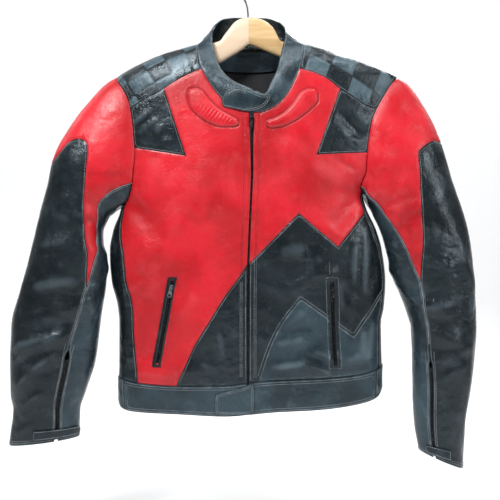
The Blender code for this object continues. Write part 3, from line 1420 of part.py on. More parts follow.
def pull_outline(half, length):
    """Plate of a pull tab: narrow at the cheeks, rounded and wider at its free end."""
    start = PULL_CLEAR
    neck_half = CHEEK_OUT - 0.3
    end = start + length - half
    shape = [(start, -neck_half), (start + 2, -neck_half), (end - half * 0.4, -half)]
    shape += [(end + half * math.cos(t) * 0.9, half * math.sin(t)) for t in np.linspace(-1.35, 1.35, 9)]
    return shape + [(end - half * 0.4, half), (start + 2, neck_half), (start, neck_half)]


def build_pulls():
    lean = -math.degrees(math.atan2(28, 145))
    build_slider("front", 5.7, 260, 0.0, -0.4, "dark_metal", 15, 4.8, 0, "dark_metal")
    build_slider("pocket_left", -134.2, 556, lean, -0.3, "steel", 14, 8.0, 2.3, "steel")
    build_slider("pocket_right", 146.5, 559, 2.4, -0.1, "dark_metal", 18, 8.0, 2.3, "dark_metal")


# ---------------------------------------------------------------- hanger
def build_hanger():
    columns = []
    half = WOOD_THICK / 2
    edge = 3.0
    for x, top, bottom in WOOD:
        section = [(-half, top + edge), (-half + edge, top), (half - edge, top), (half, top + edge),
                   (half, bottom - edge), (half - edge, bottom), (-half + edge, bottom),
                   (-half, bottom - edge)]
        columns.append([(x, y, -d) for y, d in section])
    tube_object("hanger_wood", np.array(columns, float), "wood")
    radius = HOOK_RADIUS + WIRE / 2
    centre = -HOOK_RADIUS
    path = [(0.0, -WOOD_TOP), (-1.0, -60), (-4.0, -47), (-10.5, -36)]
    for t in np.linspace(200, -30, 17):
        path.append((radius * math.cos(math.radians(t)), centre + radius * math.sin(math.radians(t))))
    path = np.array(path)
    run = np.gradient(path, axis=0)
    run /= np.linalg.norm(run, axis=1, keepdims=True)
    rings = []
    sides = 8
    for (x, z), (rx, rz) in zip(path, run):
        ring = []
        for i in range(sides):
            t = 2 * math.pi * (i + 0.5) / sides
            reach = WIRE / 2 / math.cos(math.pi / sides)
            ring.append((x - rz * reach * math.cos(t), reach * math.sin(t), z + rx * reach * math.cos(t)))
        rings.append(ring)
    rings[0] = [(x, y, -WOOD_TOP + 0.3) for x, y, z in rings[0]]
    tube_object("hanger_hook", np.array(rings), "steel")


def main():
    for old in list(bpy.data.objects):
        bpy.data.objects.remove(old, do_unlink=True)
    build_body()
    build_sleeve(-1, "left")
    build_sleeve(1, "right")
    build_collar()
    build_inside()
    build_pads()
    build_band()
    build_zips()
    build_pulls()
    build_hanger()


if __name__ == "__main__":
    main()
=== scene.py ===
"""Looks of the leather jacket on its hanger: creased panels, sewing, zips, fittings and light.

Lengths are millimetres until a mesh is made. Heights are given as `drop`, the distance below the
origin. The tables of sizes are those of the part's source, so that the fine model lies on the
same surfaces: torso rings, a fan of rings for each sleeve, and a band for the collar.
"""

import functools
import itertools
import math

import bpy
import numpy as np
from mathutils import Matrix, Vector
from mathutils.bvhtree import BVHTree
from mathutils.geometry import delaunay_2d_cdt


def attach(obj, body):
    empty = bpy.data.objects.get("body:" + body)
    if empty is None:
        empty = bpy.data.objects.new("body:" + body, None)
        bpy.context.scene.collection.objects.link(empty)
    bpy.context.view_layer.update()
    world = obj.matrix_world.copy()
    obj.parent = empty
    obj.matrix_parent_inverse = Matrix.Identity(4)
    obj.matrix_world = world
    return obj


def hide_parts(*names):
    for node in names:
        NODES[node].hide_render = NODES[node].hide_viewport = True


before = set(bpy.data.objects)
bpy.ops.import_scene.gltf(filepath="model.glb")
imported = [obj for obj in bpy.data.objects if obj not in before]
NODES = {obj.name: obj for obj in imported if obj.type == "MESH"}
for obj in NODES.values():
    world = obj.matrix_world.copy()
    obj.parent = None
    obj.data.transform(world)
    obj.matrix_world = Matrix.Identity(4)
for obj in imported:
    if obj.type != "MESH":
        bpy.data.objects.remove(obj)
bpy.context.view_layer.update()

MM = 0.001
SIDES = {-1: "left", 1: "right"}    # as seen from the front
TINY = 1e-9
SAME = 1e-6          # points closer than this are one point
LEATHER = 2.0        # wall of one leather panel
DOUBLE = 3.0         # folded leather: collar and waistband
SEAM_GAP = 0.08      # between pieces at a seam
MITRE_GAP = 0.06     # where they meet at an angle
PROUD = 1.5          # waistband outer face in front of the body leather
ALONG_STEP = 7.25    # mesh spacing down a side seam
SEAM_STEP = 6.0      # mesh spacing along a seam
FINE_STEP = 5.0      # and inside a panel
ROLL = 3.0           # width of a panel's rolled edge
ROLL_DEPTH = 0.8     # and how far the edge turns down
ROLL_RINGS = (1.2, 2.8)
COARSER = 1.6        # mesh spacing of a panel's inner face over that of its outer face
BAND_STEP = 2.1      # degrees between points on the waistband's edges
NECK_STEP = 3.0      # and on the neck seam
NECK_YOKE, NECK_BACK_YOKE = 137.0, 75.0    # turns where the yoke's seams meet the neck
BATCH = 2000         # points handled at once
FAR = 99.0           # stands for a point far from any rim
WELD = 0.02          # points of a fitting closer than this are joined
BEVEL_ANGLE = 35     # edges of a fitting sharper than this are rounded
BODY = "jacket"
TREES, PANELS, CLOTH = {}, {}, []
STITCHES = {"grey_thread": [], "red_thread": []}

# ---------------------------------------------------------------- body sizes
# drop, half width left, half width right, depth in front, depth behind
TORSO = (
    (112, 70, 75, 34, 34),
    (122, 88, 98, 38, 38),
    (130, 116, 134, 42, 40),
    (142, 158, 167, 45, 42),
    (154, 187, 207, 48, 44),
    (171, 219, 250, 51, 46),
    (183, 236, 268, 53, 47),
    (205, 247, 270, 55, 48),
    (245, 250, 262, 58, 49),
    (300, 247, 250, 60, 50),
    (350, 242, 236, 61, 50),
    (392, 233, 206, 62, 50),
    (412, 229, 210, 62, 50),
    (456, 243, 230, 62, 49),
    (492, 249, 240, 61, 49),
    (545, 246, 246, 60, 48),
    (592, 235, 243, 58, 47),
    (622, 232, 238, 57, 46),
    (700, 232, 240, 53, 44),
    (735, 233, 239, 51, 43),
    (762, 232, 238, 49, 42),
    (800, 228, 234, 47, 41),
)
ROUND_FRONT = 2.4    # exponent of the oval section in front
ROUND_BACK = 2.8     # and behind, where the back hangs flatter

# Armhole: turn round the sleeve, then for each side drop and distance inside the silhouette
ARMHOLE = {-1: (
    (0, 180, 0), (20, 187, 4), (40, 207, 25), (60, 238, 41), (80, 276, 46),
    (100, 316, 46), (120, 354, 39), (140, 385, 28), (160, 405, 14), (180, 412, 0),
), 1: (
    (0, 182, 0), (20, 188, 7), (40, 207, 23), (60, 235, 34), (80, 269, 41),
    (100, 305, 38), (120, 340, 31), (140, 367, 20), (160, 386, 7), (180, 392, 0),
)}
# Turns at which a body seam or a sleeve seam meets the armhole, in front and behind
YOKE_TURN = {-1: 62, 1: 65}
INSERT_TURN = {-1: 98, 1: 108}
SIDE_FRONT_TURN, SIDE_BACK_TURN, BACK_YOKE_TURN = 165, 195, 312
UNDERARM = {-1: 412, 1: 392}    # drop of the armhole's lowest point
ARMHOLE_STEP = 3.25

# Sleeve rings: outer x, outer drop, inner x, inner drop, half depth, distance forward
SLEEVE = {-1: (
    (-236, 182, -228, 412, 40, 0),
    (-256, 193, -235, 417, 44, 1),
    (-289, 229, -242, 424, 47, 3),
    (-321, 273, -249, 433, 49, 5),
    (-346, 319, -255, 444, 49, 7),
    (-359, 376, -260, 459, 48, 9),
    (-373, 428, -259, 479, 47, 10),
    (-388, 490, -252, 504, 47, 11),
    (-405, 558, -254, 551, 46, 12),
    (-421, 617, -263, 610, 45, 12),
    (-425, 686, -272, 684, 42, 13),
    (-424, 747, -291, 745, 38, 13),
    (-420, 776, -300, 774, 36, 13),
    (-427, 839, -301, 823, 33, 13),
), 1: (
    (268, 182, 205, 392, 40, 0),
    (282, 189, 211, 398, 44, 1),
    (309, 224, 213, 409, 47, 3),
    (334, 270, 219, 420, 49, 5),
    (350, 315, 225, 433, 49, 7),
    (365, 367, 233, 450, 48, 9),
    (379, 409, 240, 471, 47, 10),
    (394, 464, 248, 502, 47, 11),
    (403, 536, 258, 540, 46, 12),
    (406, 599, 281, 596, 44, 12),
    (406, 635, 290, 632, 42, 13),
    (403, 682, 292, 682, 40, 13),
    (396, 742, 293, 742, 37, 13),
    (387, 799, 296, 799, 34, 13),
    (383, 880, 304, 848, 31, 13),
)}
CAP_REACH = 90.0     # how far along the sleeve the armhole's shape fades out

# Sleeve seams as (turn, along) in front; the same seams run behind at the mirrored turn
CAP = {-1: (
    (129, 289), (128, 276), (122, 176), (102, 95), (66, 63), (44, 81), (34, 104), (16, 121), (0, 127),
), 1: (
    (116, 279), (112, 257), (103, 212), (90, 148), (80, 108), (66, 74), (44, 79), (18, 90), (0, 94),
)}
UNDER = {-1: (
    (132, 0), (129, 41), (132, 79), (144, 118), (150, 160), (147, 200), (138, 238), (132, 276),
    (129, 289),
), 1: (
    (150, 0), (149, 39), (146, 98), (137, 155), (128, 199), (123, 240), (116, 279),
)}
FOREARM = {-1: (
    (129, 289), (127, 299), (123, 348), (116, 392), (114, 420), (114, 462), (116, 530), (115, 564),
), 1: (
    (116, 279), (120, 311), (125, 350), (124, 395), (121, 428), (117, 474), (116, 510), (115, 574),
    (115, 600),
)}
CUFF_ZIP_TOP = {-1: 401.0, 1: 420.0}
CUFF_ZIP_OPEN = 2.9        # half the slot between the panels beside a cuff zip
CUFF_STRAP = {-1: (76, 160), 1: (72, 125)}    # turns of the strap's ends

# Neck seam: turn from the back centre, x, drop; the same turns are used on both sides
NECK = {-1: (
    (0, 0, 123), (30, -30, 123), (60, -63, 122), (90, None, 121), (105, -91, 127), (120, -89, 138),
    (132, -86, 163), (144, -74, 189), (155, -58, 214), (166, -36, 237), (174, -12, 249), (180, 5, 252),
), 1: (
    (0, 0, 123), (30, 32, 123), (60, 67, 122), (90, None, 121), (105, 98, 128), (120, 97, 138),
    (132, 93, 163), (144, 84, 189), (155, 69, 218), (166, 44, 243), (174, 20, 252), (180, 5, 252),
)}
# Collar's top edge: turn, x, y, drop
COLLAR_TOP = {-1: (
    (0, 2, 40, 64), (30, -25, 39, 64), (55, -45, 30, 68), (75, -62, 12, 84), (90, -65, -4, 99),
    (105, -63, -21, 124), (120, -57, -34, 148), (135, -47, -45, 173), (150, -29, -53, 193),
    (168, -5, -60, 206), (180, 10, -63, 213),
), 1: (
    (0, 2, 40, 64), (30, 32, 39, 65), (55, 60, 30, 76), (75, 68, 12, 91), (90, 67, -6, 102),
    (105, 62, -24, 124), (120, 56, -37, 150), (135, 50, -47, 174), (150, 40, -55, 198),
    (168, 27, -61, 219), (180, 10, -63, 213),
)}
# Collar tab: (x, drop) of its outline, and the cubic of x / 40 and (drop - 230) / 22 that gives
# how far forward its back lies, just clear of the collar and the chest
COLLAR_TAB = (
    (-44, 242), (-46, 232), (-43, 222), (-37, 215), (-29, 211), (-19, 209), (-7, 210), (5, 214),
    (15, 218.5), (25, 222), (34, 221), (39, 223), (38, 230), (33, 238), (24, 245.5), (6, 250.5),
    (-7, 249.5), (-19, 247), (-32, 244.7),
)
COLLAR_TAB_SHEET = (64.44, 3.38, -1.9, -3.58, 0.85, -4.55, -1.6, 1.36, -3.34, 0.56)
COLLAR_RISE = 45.0   # nominal height of the collar, the scale of its `rise`
COLLAR_BULGE = 4.0

# ---------------------------------------------------------------- body seams, (x, drop) in front
YOKE = {
    -1: ((-112, 187), (-135, 200), (-148, 209), (-165, 218), (-187, 229)),
    1: ((112, 180), (134, 189), (161, 209), (182, 221), (207, 237)),
}
YOKE_BACK_DROP = 48.0      # how far below the ridge the back yoke seam lies
INSERT_TOP = {-1: (-148, 209), 1: (161, 209)}
INSERT_FOOT = {-1: (-109, 327), 1: (119, 325)}
CENTRE = 516               # drop where the colour seams meet the front zip
DIAGONAL = ((-14, 536), (-41, 573), (-70, 620), (-96, 663), (-112, 699), (-126, 727))
PEAK_1 = (88, 428)
VALLEY_1 = (157, 486)
END_1 = 425                # drop where the upper zigzag meets the right side seam
FOOT_2 = (17, 719)
RISE_2 = ((38, 657), (55, 623))
PEAK_2 = (91, 575)
VALLEY_2 = (184, 642)
END_2 = 563                # drop where the lower zigzag meets the right side seam

# Side seams: drop, distance from the middle plane, forward in front and back behind
SIDE_FRONT = {
    -1: ((412, 20), (461, 30), (505, 35), (566, 35), (633, 33), (740, 33)),
    1: ((392, 22), (459, 24), (500, 20), (560, 18), (634, 18), (740, 20)),
}
SIDE_BACK = ((392, 22), (460, 28), (560, 30), (740, 30))

# Waistband edges: angle round the body, drop
BAND_TOP = (
    (-180, 729), (-120, 726), (-90, 716), (-72, 720), (-50, 727), (-30, 730), (-10, 729), (0, 724),
    (10, 720), (30, 717), (50, 712), (68, 704), (90, 694), (120, 712), (180, 729),
)
BAND_BOTTOM = (
    (-180, 782), (-120, 778), (-90, 758), (-76, 771), (-60, 777), (-30, 780), (-10, 783), (0, 780),
    (10, 776), (30, 772), (50, 764), (68, 754), (90, 736), (120, 762), (180, 782),
)
BAND_JOINT_RIGHT = 66.0    # angle of the joint in the right front of the band
BAND_JOINT_LEFT = -66.0
TAB_END = -58.0            # x of the band tab's free end
TAB_ROOT = 10.0            # x where the right band reaches its own level
TAB_LIFT = 2.3             # the tab's outer face over the left band's

# Front zip: drop, x of its middle, gap between the leather edges
FRONT_ZIP = (
    (252, 5.5, 8.0), (280, 6.0, 7.0), (309, 6.0, 5.0), (353, 6.5, 4.0), (405, 4.5, 3.4),
    (491, 0.8, 3.2), (516, 0.0, 3.2), (620, -0.5, 3.2), (719, -0.5, 3.2), (800, -0.5, 3.2),
)
TAPE = 7.5                 # half width of a zip's tape
TAPE_LIFT = -3.4           # the tape's outer face under the leather's outer face
POCKET_TAPE_LIFT = -2.8    # the same on the pockets, where the leather is flatter
CHAIN_LIFT = -1.0          # and a chain's
# Pocket zips: x and drop of both ends, width of the slot
POCKET = {-1: ((-132, 545), (-160, 690), 8.6), 1: ((146, 547), (152, 692), 8.6)}

WELTS = {-1: (2.2, 4.6), 1: (3.4, 3.4)}    # how far each pocket's two edges reach past its slot

# Chest pads: the outline's (x, drop), clockwise as seen
PAD = {-1: (
    (-107, 222), (-103, 212), (-92, 209), (-81, 214), (-67, 231), (-48, 248), (-27, 260),
    (-18, 266), (-17, 273), (-27, 277), (-46, 277), (-68, 270), (-88, 257), (-102, 241),
), 1: (
    (104, 210), (115, 211), (122, 219), (122, 229), (111, 244), (95, 257), (76, 269), (57, 277),
    (39, 279), (32, 274), (33, 267), (45, 262), (64, 251), (79, 234), (92, 216),
)}
PAD_CROWN = 6.0

# ---------------------------------------------------------------- largest folds
# x and drop of both ends as seen, height, half width; a negative height is a trough
FRONT_FOLDS = (
    (78, 566, 108, 538, 4.0, 9), (108, 538, 156, 531, 4.5, 9), (180, 560, 186, 690, 4.0, 11),
    (214, 560, 212, 690, 3.0, 10), (91, 692, 212, 690, 4.5, 13), (-185, 700, -70, 706, 3.5, 13),
    (-205, 405, -150, 480, -4.0, 13), (195, 405, 150, 455, -3.5, 13), (-172, 345, -178, 520, 3.5, 17),
    (150, 256, 206, 292, -3.0, 9), (60, 300, 130, 400, 2.5, 20), (-60, 320, -120, 470, 2.5, 22),
)
BACK_FOLDS = (
    (-120, 300, -92, 640, 5.0, 20), (105, 320, 122, 650, 5.0, 20), (-8, 270, 12, 600, -3.5, 26),
    (-190, 700, 180, 704, 4.0, 14), (-165, 445, -125, 515, -4.0, 14), (160, 430, 125, 500, -4.0, 14),
    (-60, 480, -40, 690, 3.0, 18), (60, 470, 50, 690, 2.5, 18),
)
# turn and along of both ends, height, half width, for both sleeves
SLEEVE_FOLDS = (
    (118, 372, 40, 404, 4.5, 10), (84, 398, 36, 478, 4.0, 11), (148, 314, 74, 340, 4.0, 11),
    (60, 230, 20, 300, 3.0, 14), (110, 150, 60, 210, -3.0, 14), (150, 90, 70, 130, -3.5, 13),
    (200, 330, 290, 360, 4.5, 11), (215, 400, 300, 430, 4.0, 12), (230, 200, 300, 260, 3.5, 14),
    (170, 250, 230, 270, 3.0, 11), (330, 150, 350, 420, 3.0, 18), (250, 470, 260, 540, 2.5, 12),
)
FOLD_CLEAR = 30.0    # folds fade out over this distance from the armhole
TURN_SCALE = 1.05    # mm to a degree round the sleeve, for the width of folds
# Depth from the middle plane at which folds and creases start, and the distance over which they grow
FOLD_FADE, CREASE_FADE = (12, 22), (6, 20)
LOWEST, HIGHEST = -1.5, 3.2    # range of the fine creases

# ---------------------------------------------------------------- hanger
HOOK_RADIUS = 17.0
WIRE = 3.6
WOOD_THICK = 14.0
WOOD_RINGS, WOOD_SIDES = 150, 24
WOOD_SQUARE = 5      # exponent of the bow's rounded section
WOOD_TOP = 73.5      # drop of the bow's highest point, where the hook goes in
# x, top drop, bottom drop of the wooden bow
WOOD = (
    (-208, 169.2, 186), (-180, 156.2, 182), (-150, 144.7, 176), (-120, 135.4, 170), (-90, 126.2, 163),
    (-62, 119.0, 158), (-51, 115.5, 155), (-44, 106, 151.3), (-36, 95.5, 146.3), (-23, 80.5, 138.3),
    (-12, 75.3, 131.5), (2, WOOD_TOP, 122), (14, 74.6, 126), (28, 78.8, 132), (40, 87.5, 137),
    (47, 96, 140), (58, 115.5, 144.6), (70, 118.6, 149), (90, 124.2, 153), (120, 132.0, 160),
    (150, 141.0, 166), (180, 150.0, 171), (208, 158.5, 176),
)

# ---------------------------------------------------------------- fine creases
# x and drop of both ends as seen in front, height, half width; a negative height is a trough
FRONT_CREASES = (
    (-195, 499, -188, 531, 1.2, 6), (-181, 502, -182, 535, 1.0, 5), (-87, 560, -123, 617, 1.8, 14),
    (-166, 329, -130, 391, 1.6, 16), (-101, 473, -51, 459, 1.0, 12), (-205, 380, -176, 420, 1.5, 8),
    (-195, 704, -130, 716, 1.8, 5), (-188, 690, -146, 700, 1.0, 4), (-51, 632, -44, 679, 1.8, 6),
    (-87, 689, -51, 700, 1.4, 6), (-70, 655, -58, 690, -1.0, 5), (-118, 430, -150, 500, 1.3, 12),
    (-30, 330, -24, 420, 1.2, 10), (-60, 400, -75, 470, -0.9, 12), (-140, 300, -172, 322, 0.9, 6),
    (107, 333, 172, 376, 1.8, 14), (201, 409, 186, 434, 2.0, 8), (143, 452, 158, 466, 0.8, 3),
    (170, 446, 160, 470, 0.7, 3), (130, 452, 149, 474, -0.6, 3), (60, 300, 96, 330, 1.0, 10),
    (40, 380, 92, 352, 1.2, 10), (150, 330, 190, 352, -1.2, 7), (178, 372, 200, 392, 1.2, 6),
    (161, 247, 197, 287, -2.2, 7), (181, 247, 212, 277, 1.8, 7), (153, 256, 174, 295, 1.5, 7),
    (-207, 272, -173, 251, 1.8, 5), (-200, 290, -159, 261, 1.5, 5), (-204, 283, -164, 254, -1.2, 3.5),
    (-163, 287, -150, 272, 1.8, 7), (-150, 300, -128, 306, 0.8, 4), (-186, 306, -176, 318, 0.9, 4),
    (50, 495, 100, 488, 2.2, 12), (100, 484, 118, 488, -1.5, 5), (100, 556, 111, 545, -1.8, 5),
    (111, 545, 136, 540, -1.8, 5), (190, 473, 186, 560, 2.4, 7), (208, 445, 201, 578, 2.4, 8),
    (197, 473, 194, 567, -2.2, 5), (158, 545, 165, 596, 2.0, 6), (28, 502, 57, 538, 1.4, 8),
    (24, 545, 78, 571, 1.2, 10), (60, 520, 92, 512, -1.2, 6), (118, 500, 128, 516, 1.2, 6),
    (60, 625, 104, 596, 1.6, 9), (46, 657, 104, 643, 1.8, 8), (71, 635, 114, 628, -1.4, 6),
    (104, 679, 158, 700, -2.4, 6), (158, 700, 215, 693, -2.0, 6), (39, 697, 104, 689, 2.0, 6),
    (104, 689, 147, 709, 1.8, 5), (107, 668, 165, 686, 2.2, 7), (165, 686, 219, 679, 1.8, 7),
    (201, 632, 201, 675, 2.0, 7), (219, 614, 215, 686, 2.0, 6), (178, 600, 184, 650, -1.2, 6),
    (20, 590, 44, 610, 0.9, 7), (16, 640, 34, 655, 1.0, 6), (-26, 590, -20, 640, 0.8, 6),
    (-224, 470, -216, 600, 1.6, 5), (-222, 640, -210, 700, 1.4, 6),
)
BACK_CREASES = (
    (-150, 330, -70, 372, 1.6, 12), (150, 318, 80, 352, 1.6, 12), (-185, 420, -120, 470, 1.8, 8),
    (176, 400, 122, 462, 1.8, 8), (-60, 430, -20, 520, 1.2, 14), (52, 440, 30, 540, 1.1, 13),
    (-196, 560, -120, 600, 1.6, 8), (190, 548, 130, 592, 1.5, 8), (-200, 640, -92, 656, 1.8, 7),
    (196, 632, 84, 650, 1.8, 7), (-150, 684, -30, 694, 2.0, 7), (24, 682, 150, 692, 1.9, 7),
    (-110, 706, 96, 710, -1.2, 5), (-90, 240, -70, 320, -0.9, 10), (88, 238, 66, 316, -0.9, 10),
    (-30, 200, 34, 204, 1.0, 10), (-205, 486, -170, 560, -1.4, 6), (202, 480, 168, 556, -1.4, 6),
    (-20, 600, 10, 672, 1.2, 12), (120, 600, 100, 668, -1.0, 9), (-128, 520, -96, 570, -1.0, 8),
)
# turn and along of both ends, height, half width
SLEEVE_CREASES = {-1: (
    (41, 222, 104, 205, 1.8, 7), (46, 286, 116, 275, 2.2, 8), (37, 340, 99, 330, -1.8, 5),
    (28, 395, 111, 372, 2.4, 7), (41, 468, 96, 405, 2.2, 6), (52, 500, 88, 475, 1.5, 5),
    (26, 425, 57, 405, 1.4, 5), (10, 130, 87, 124, 1.2, 10), (47, 175, 104, 165, 1.4, 8),
    (119, 295, 157, 288, 1.6, 5), (119, 340, 160, 325, 1.4, 5), (120, 392, 160, 378, 1.4, 5),
    (165, 30, 178, 66, 2.0, 6), (150, 22, 128, 58, -1.5, 7), (60, 60, 100, 48, 1.2, 10),
    (130, 80, 84, 112, 1.4, 8), (140, 130, 106, 160, -1.2, 6), (168, 150, 150, 220, 1.5, 6),
    (60, 440, 100, 436, -1.2, 5), (70, 530, 40, 548, 1.0, 4), (140, 440, 170, 470, 1.4, 6),
    (200, 290, 260, 268, 2.0, 7), (210, 352, 300, 338, -1.8, 6), (205, 398, 310, 384, 2.2, 7),
    (220, 455, 290, 470, 1.8, 7), (230, 180, 300, 196, 1.6, 9), (200, 90, 260, 120, 1.6, 8),
    (250, 60, 300, 70, 1.1, 10), (190, 230, 240, 216, -1.4, 6), (240, 520, 300, 512, 1.2, 5),
    (330, 260, 352, 300, 1.5, 8), (322, 420, 350, 400, 1.5, 7), (335, 90, 350, 150, 1.0, 12),
), 1: (
    (53, 200, 41, 260, 2.0, 7), (41, 260, 40, 352, 2.2, 7), (60, 350, 20, 372, -2.0, 4),
    (38, 382, 30, 540, 2.0, 6), (83, 150, 72, 200, -1.5, 5), (124, 330, 50, 315, 1.8, 7),
    (115, 402, 50, 395, -1.6, 5), (104, 455, 50, 430, 1.6, 6), (150, 478, 110, 545, 1.2, 5),
    (150, 15, 142, 60, 1.5, 8), (125, 90, 96, 96, 1.4, 9), (165, 30, 160, 110, -1.4, 5),
    (170, 190, 135, 230, 1.6, 6), (160, 300, 128, 318, 1.4, 5), (158, 360, 130, 372, -1.2, 5),
    (70, 60, 110, 44, 1.2, 10), (100, 240, 64, 262, 1.5, 7), (96, 360, 62, 378, 1.4, 5),
    (80, 500, 52, 520, 1.3, 5), (76, 556, 40, 566, 1.0, 4), (30, 120, 60, 160, 1.2, 10),
    (200, 280, 270, 262, 2.0, 7), (206, 345, 305, 330, -1.8, 6), (205, 405, 300, 390, 2.2, 7),
    (215, 470, 290, 482, 1.8, 7), (226, 170, 300, 186, 1.6, 9), (198, 86, 262, 116, 1.6, 8),
    (250, 50, 300, 62, 1.1, 10), (190, 225, 240, 210, -1.4, 6), (235, 540, 300, 530, 1.2, 5),
    (326, 280, 350, 310, 1.5, 8), (322, 440, 348, 420, 1.5, 7),
)}
# Corners of the check squares: x and drop as seen in front, then the column and row of the corner
SQUARES = {-1: (
    ((-212, 194, 1, 0), (-182, 175, 2, 0), (-146, 157, 3, 0), (-110, 143, 4, 0)),
    ((-197, 220, 1, 1), (-166, 198, 2, 1), (-132, 180, 3, 1)),
), 1: (
    ((165, 138, 1, 0), (204, 155, 2, 0), (239, 175, 3, 0)),
    ((111, 152, 0, 1), (147, 161, 1, 1), (182, 184, 2, 1), (216, 206, 3, 1)),
)}
SQUARE = 36.0        # side of a check square
PLACKET = 9.0        # from the zip's edge to the first row of stitches beside it
PRESS_WIDE, PRESS_DEEP = 1.3, 0.6     # the line pressed between those rows
GROOVE_WIDE, GROOVE_DEEP = 1.4, 0.8   # channel round a chest pad
PAD_RIB = 6.2        # pitch of the ribs on the left chest pad
STITCH_PITCH, STITCH = 3.7, 2.7
EDGE_ROW = 2.6       # from a dark panel's edge to its row of stitches
RED_ROW = 2.8        # the same on the red panels
TRIM_ROW = 2.4       # and on yokes, collar, cuffs and facing
ROW_END = 1.5        # from the end of a line to its first stitch
ROW_BREAK = 16       # a row ends where its line jumps this far
CUFF_CLEAR = 12      # rims this near the cuff's edge have other rows
RAY_LIFT, RAY_REACH = 9.0, 16.0    # for finding a panel's outer face
COLLAR_SEAMS = (-96, 96)    # turns at which a seam crosses the collar
# Other rows of stitches on the right front, (x, drop)
EXTRA_ROWS = (((141, 512), (141, 536)),)


# ---------------------------------------------------------------- materials
class Nodes:
    """Short ways to add shader nodes to one material."""

    def __init__(self, name):
        self.material = bpy.data.materials.new(name)
        self.material.use_nodes = True
        self.tree = self.material.node_tree
        self.shader = self.tree.nodes["Principled BSDF"]
        self.place = self.add("ShaderNodeTexCoord").outputs["Object"]

    def add(self, kind, **settings):
        node = self.tree.nodes.new(kind)
        for key, value in settings.items():
            setattr(node, key, value)
        return node

    def put(self, socket, value):
        if isinstance(value, bpy.types.NodeSocket):
            self.tree.links.new(value, socket)
        else:
            socket.default_value = value

    def noise(self, scale, detail=3.0, stretch=None, rough=0.55):
        place = self.place
        if stretch:
            mapping = self.add("ShaderNodeMapping")
            mapping.inputs["Scale"].default_value = stretch
            self.put(mapping.inputs["Vector"], place)
            place = mapping.outputs[0]
        node = self.add("ShaderNodeTexNoise")
        self.put(node.inputs["Vector"], place)
        self.put(node.inputs["Scale"], scale)
        self.put(node.inputs["Detail"], detail)
        self.put(node.inputs["Roughness"], rough)
        return node.outputs["Fac"]

    def cells(self, scale, feature="F1"):
        node = self.add("ShaderNodeTexVoronoi", feature=feature)
        self.put(node.inputs["Vector"], self.place)
        self.put(node.inputs["Scale"], scale)
        return node.outputs["Distance"]

    def wrinkle(self, scale, stretch, wide):
        """Height that dips along thin wandering lines, here and there."""
        line = self.math("ABSOLUTE", self.math("SUBTRACT", self.noise(scale, 2.0, stretch), 0.5))
        line = self.spread(line, 0.0, wide)
        patch = self.spread(self.noise(scale * 0.35, 2.0), 0.42, 0.6)
        return self.math("ADD", self.times(self.math("SUBTRACT", line, 1.0), patch), 1.0)

    def stored(self, name, output="Fac"):
        """A number or a vector kept at the points of the mesh."""
        return self.add("ShaderNodeAttribute", attribute_name=name).outputs[output]

    def times(self, a, b, clamp=False):
        return self.math("MULTIPLY", a, b, clamp)

    def math(self, operation, a, b=0.0, clamp=False):
        node = self.add("ShaderNodeMath", operation=operation, use_clamp=clamp)
        self.put(node.inputs[0], a)
        self.put(node.inputs[1], b)
        return node.outputs[0]

    def spread(self, value, low, high, to_low=0.0, to_high=1.0):
        node = self.add("ShaderNodeMapRange", interpolation_type="SMOOTHSTEP")
        for key, item in (("Value", value), ("From Min", low), ("From Max", high),
                          ("To Min", to_low), ("To Max", to_high)):
            self.put(node.inputs[key], item)
        return node.outputs[0]

    def mix(self, share, first, second, blend="MIX"):
        node = self.add("ShaderNodeMix", data_type="RGBA", blend_type=blend)
        self.put(node.inputs[0], share)
        for socket, item in ((node.inputs[6], first), (node.inputs[7], second)):
            if not isinstance(item, bpy.types.NodeSocket):
                item = (*item, 1.0)
            self.put(socket, item)
        return node.outputs[2]

    def bump(self, layers):
        """Stacks heights given as (socket, distance in metres, strength)."""
        last = None
        for height, distance, strength in layers:
            node = self.add("ShaderNodeBump")
            self.put(node.inputs["Height"], height)
            self.put(node.inputs["Distance"], distance)
            self.put(node.inputs["Strength"], strength)
            if last is not None:
                self.put(node.inputs["Normal"], last)
            last = node.outputs[0]
        self.put(self.shader.inputs["Normal"], last)

    def finish(self, colour, roughness, **sockets):
        self.put(self.shader.inputs["Base Color"], colour)
        self.put(self.shader.inputs["Roughness"], roughness)
        for key, value in sockets.items():
            self.shader.inputs[key.replace("_", " ")].default_value = value
        return self.material


COOL = (0.78, 0.92, 1.0)
CHECK_PALE = (0.065, 0.10, 0.12)


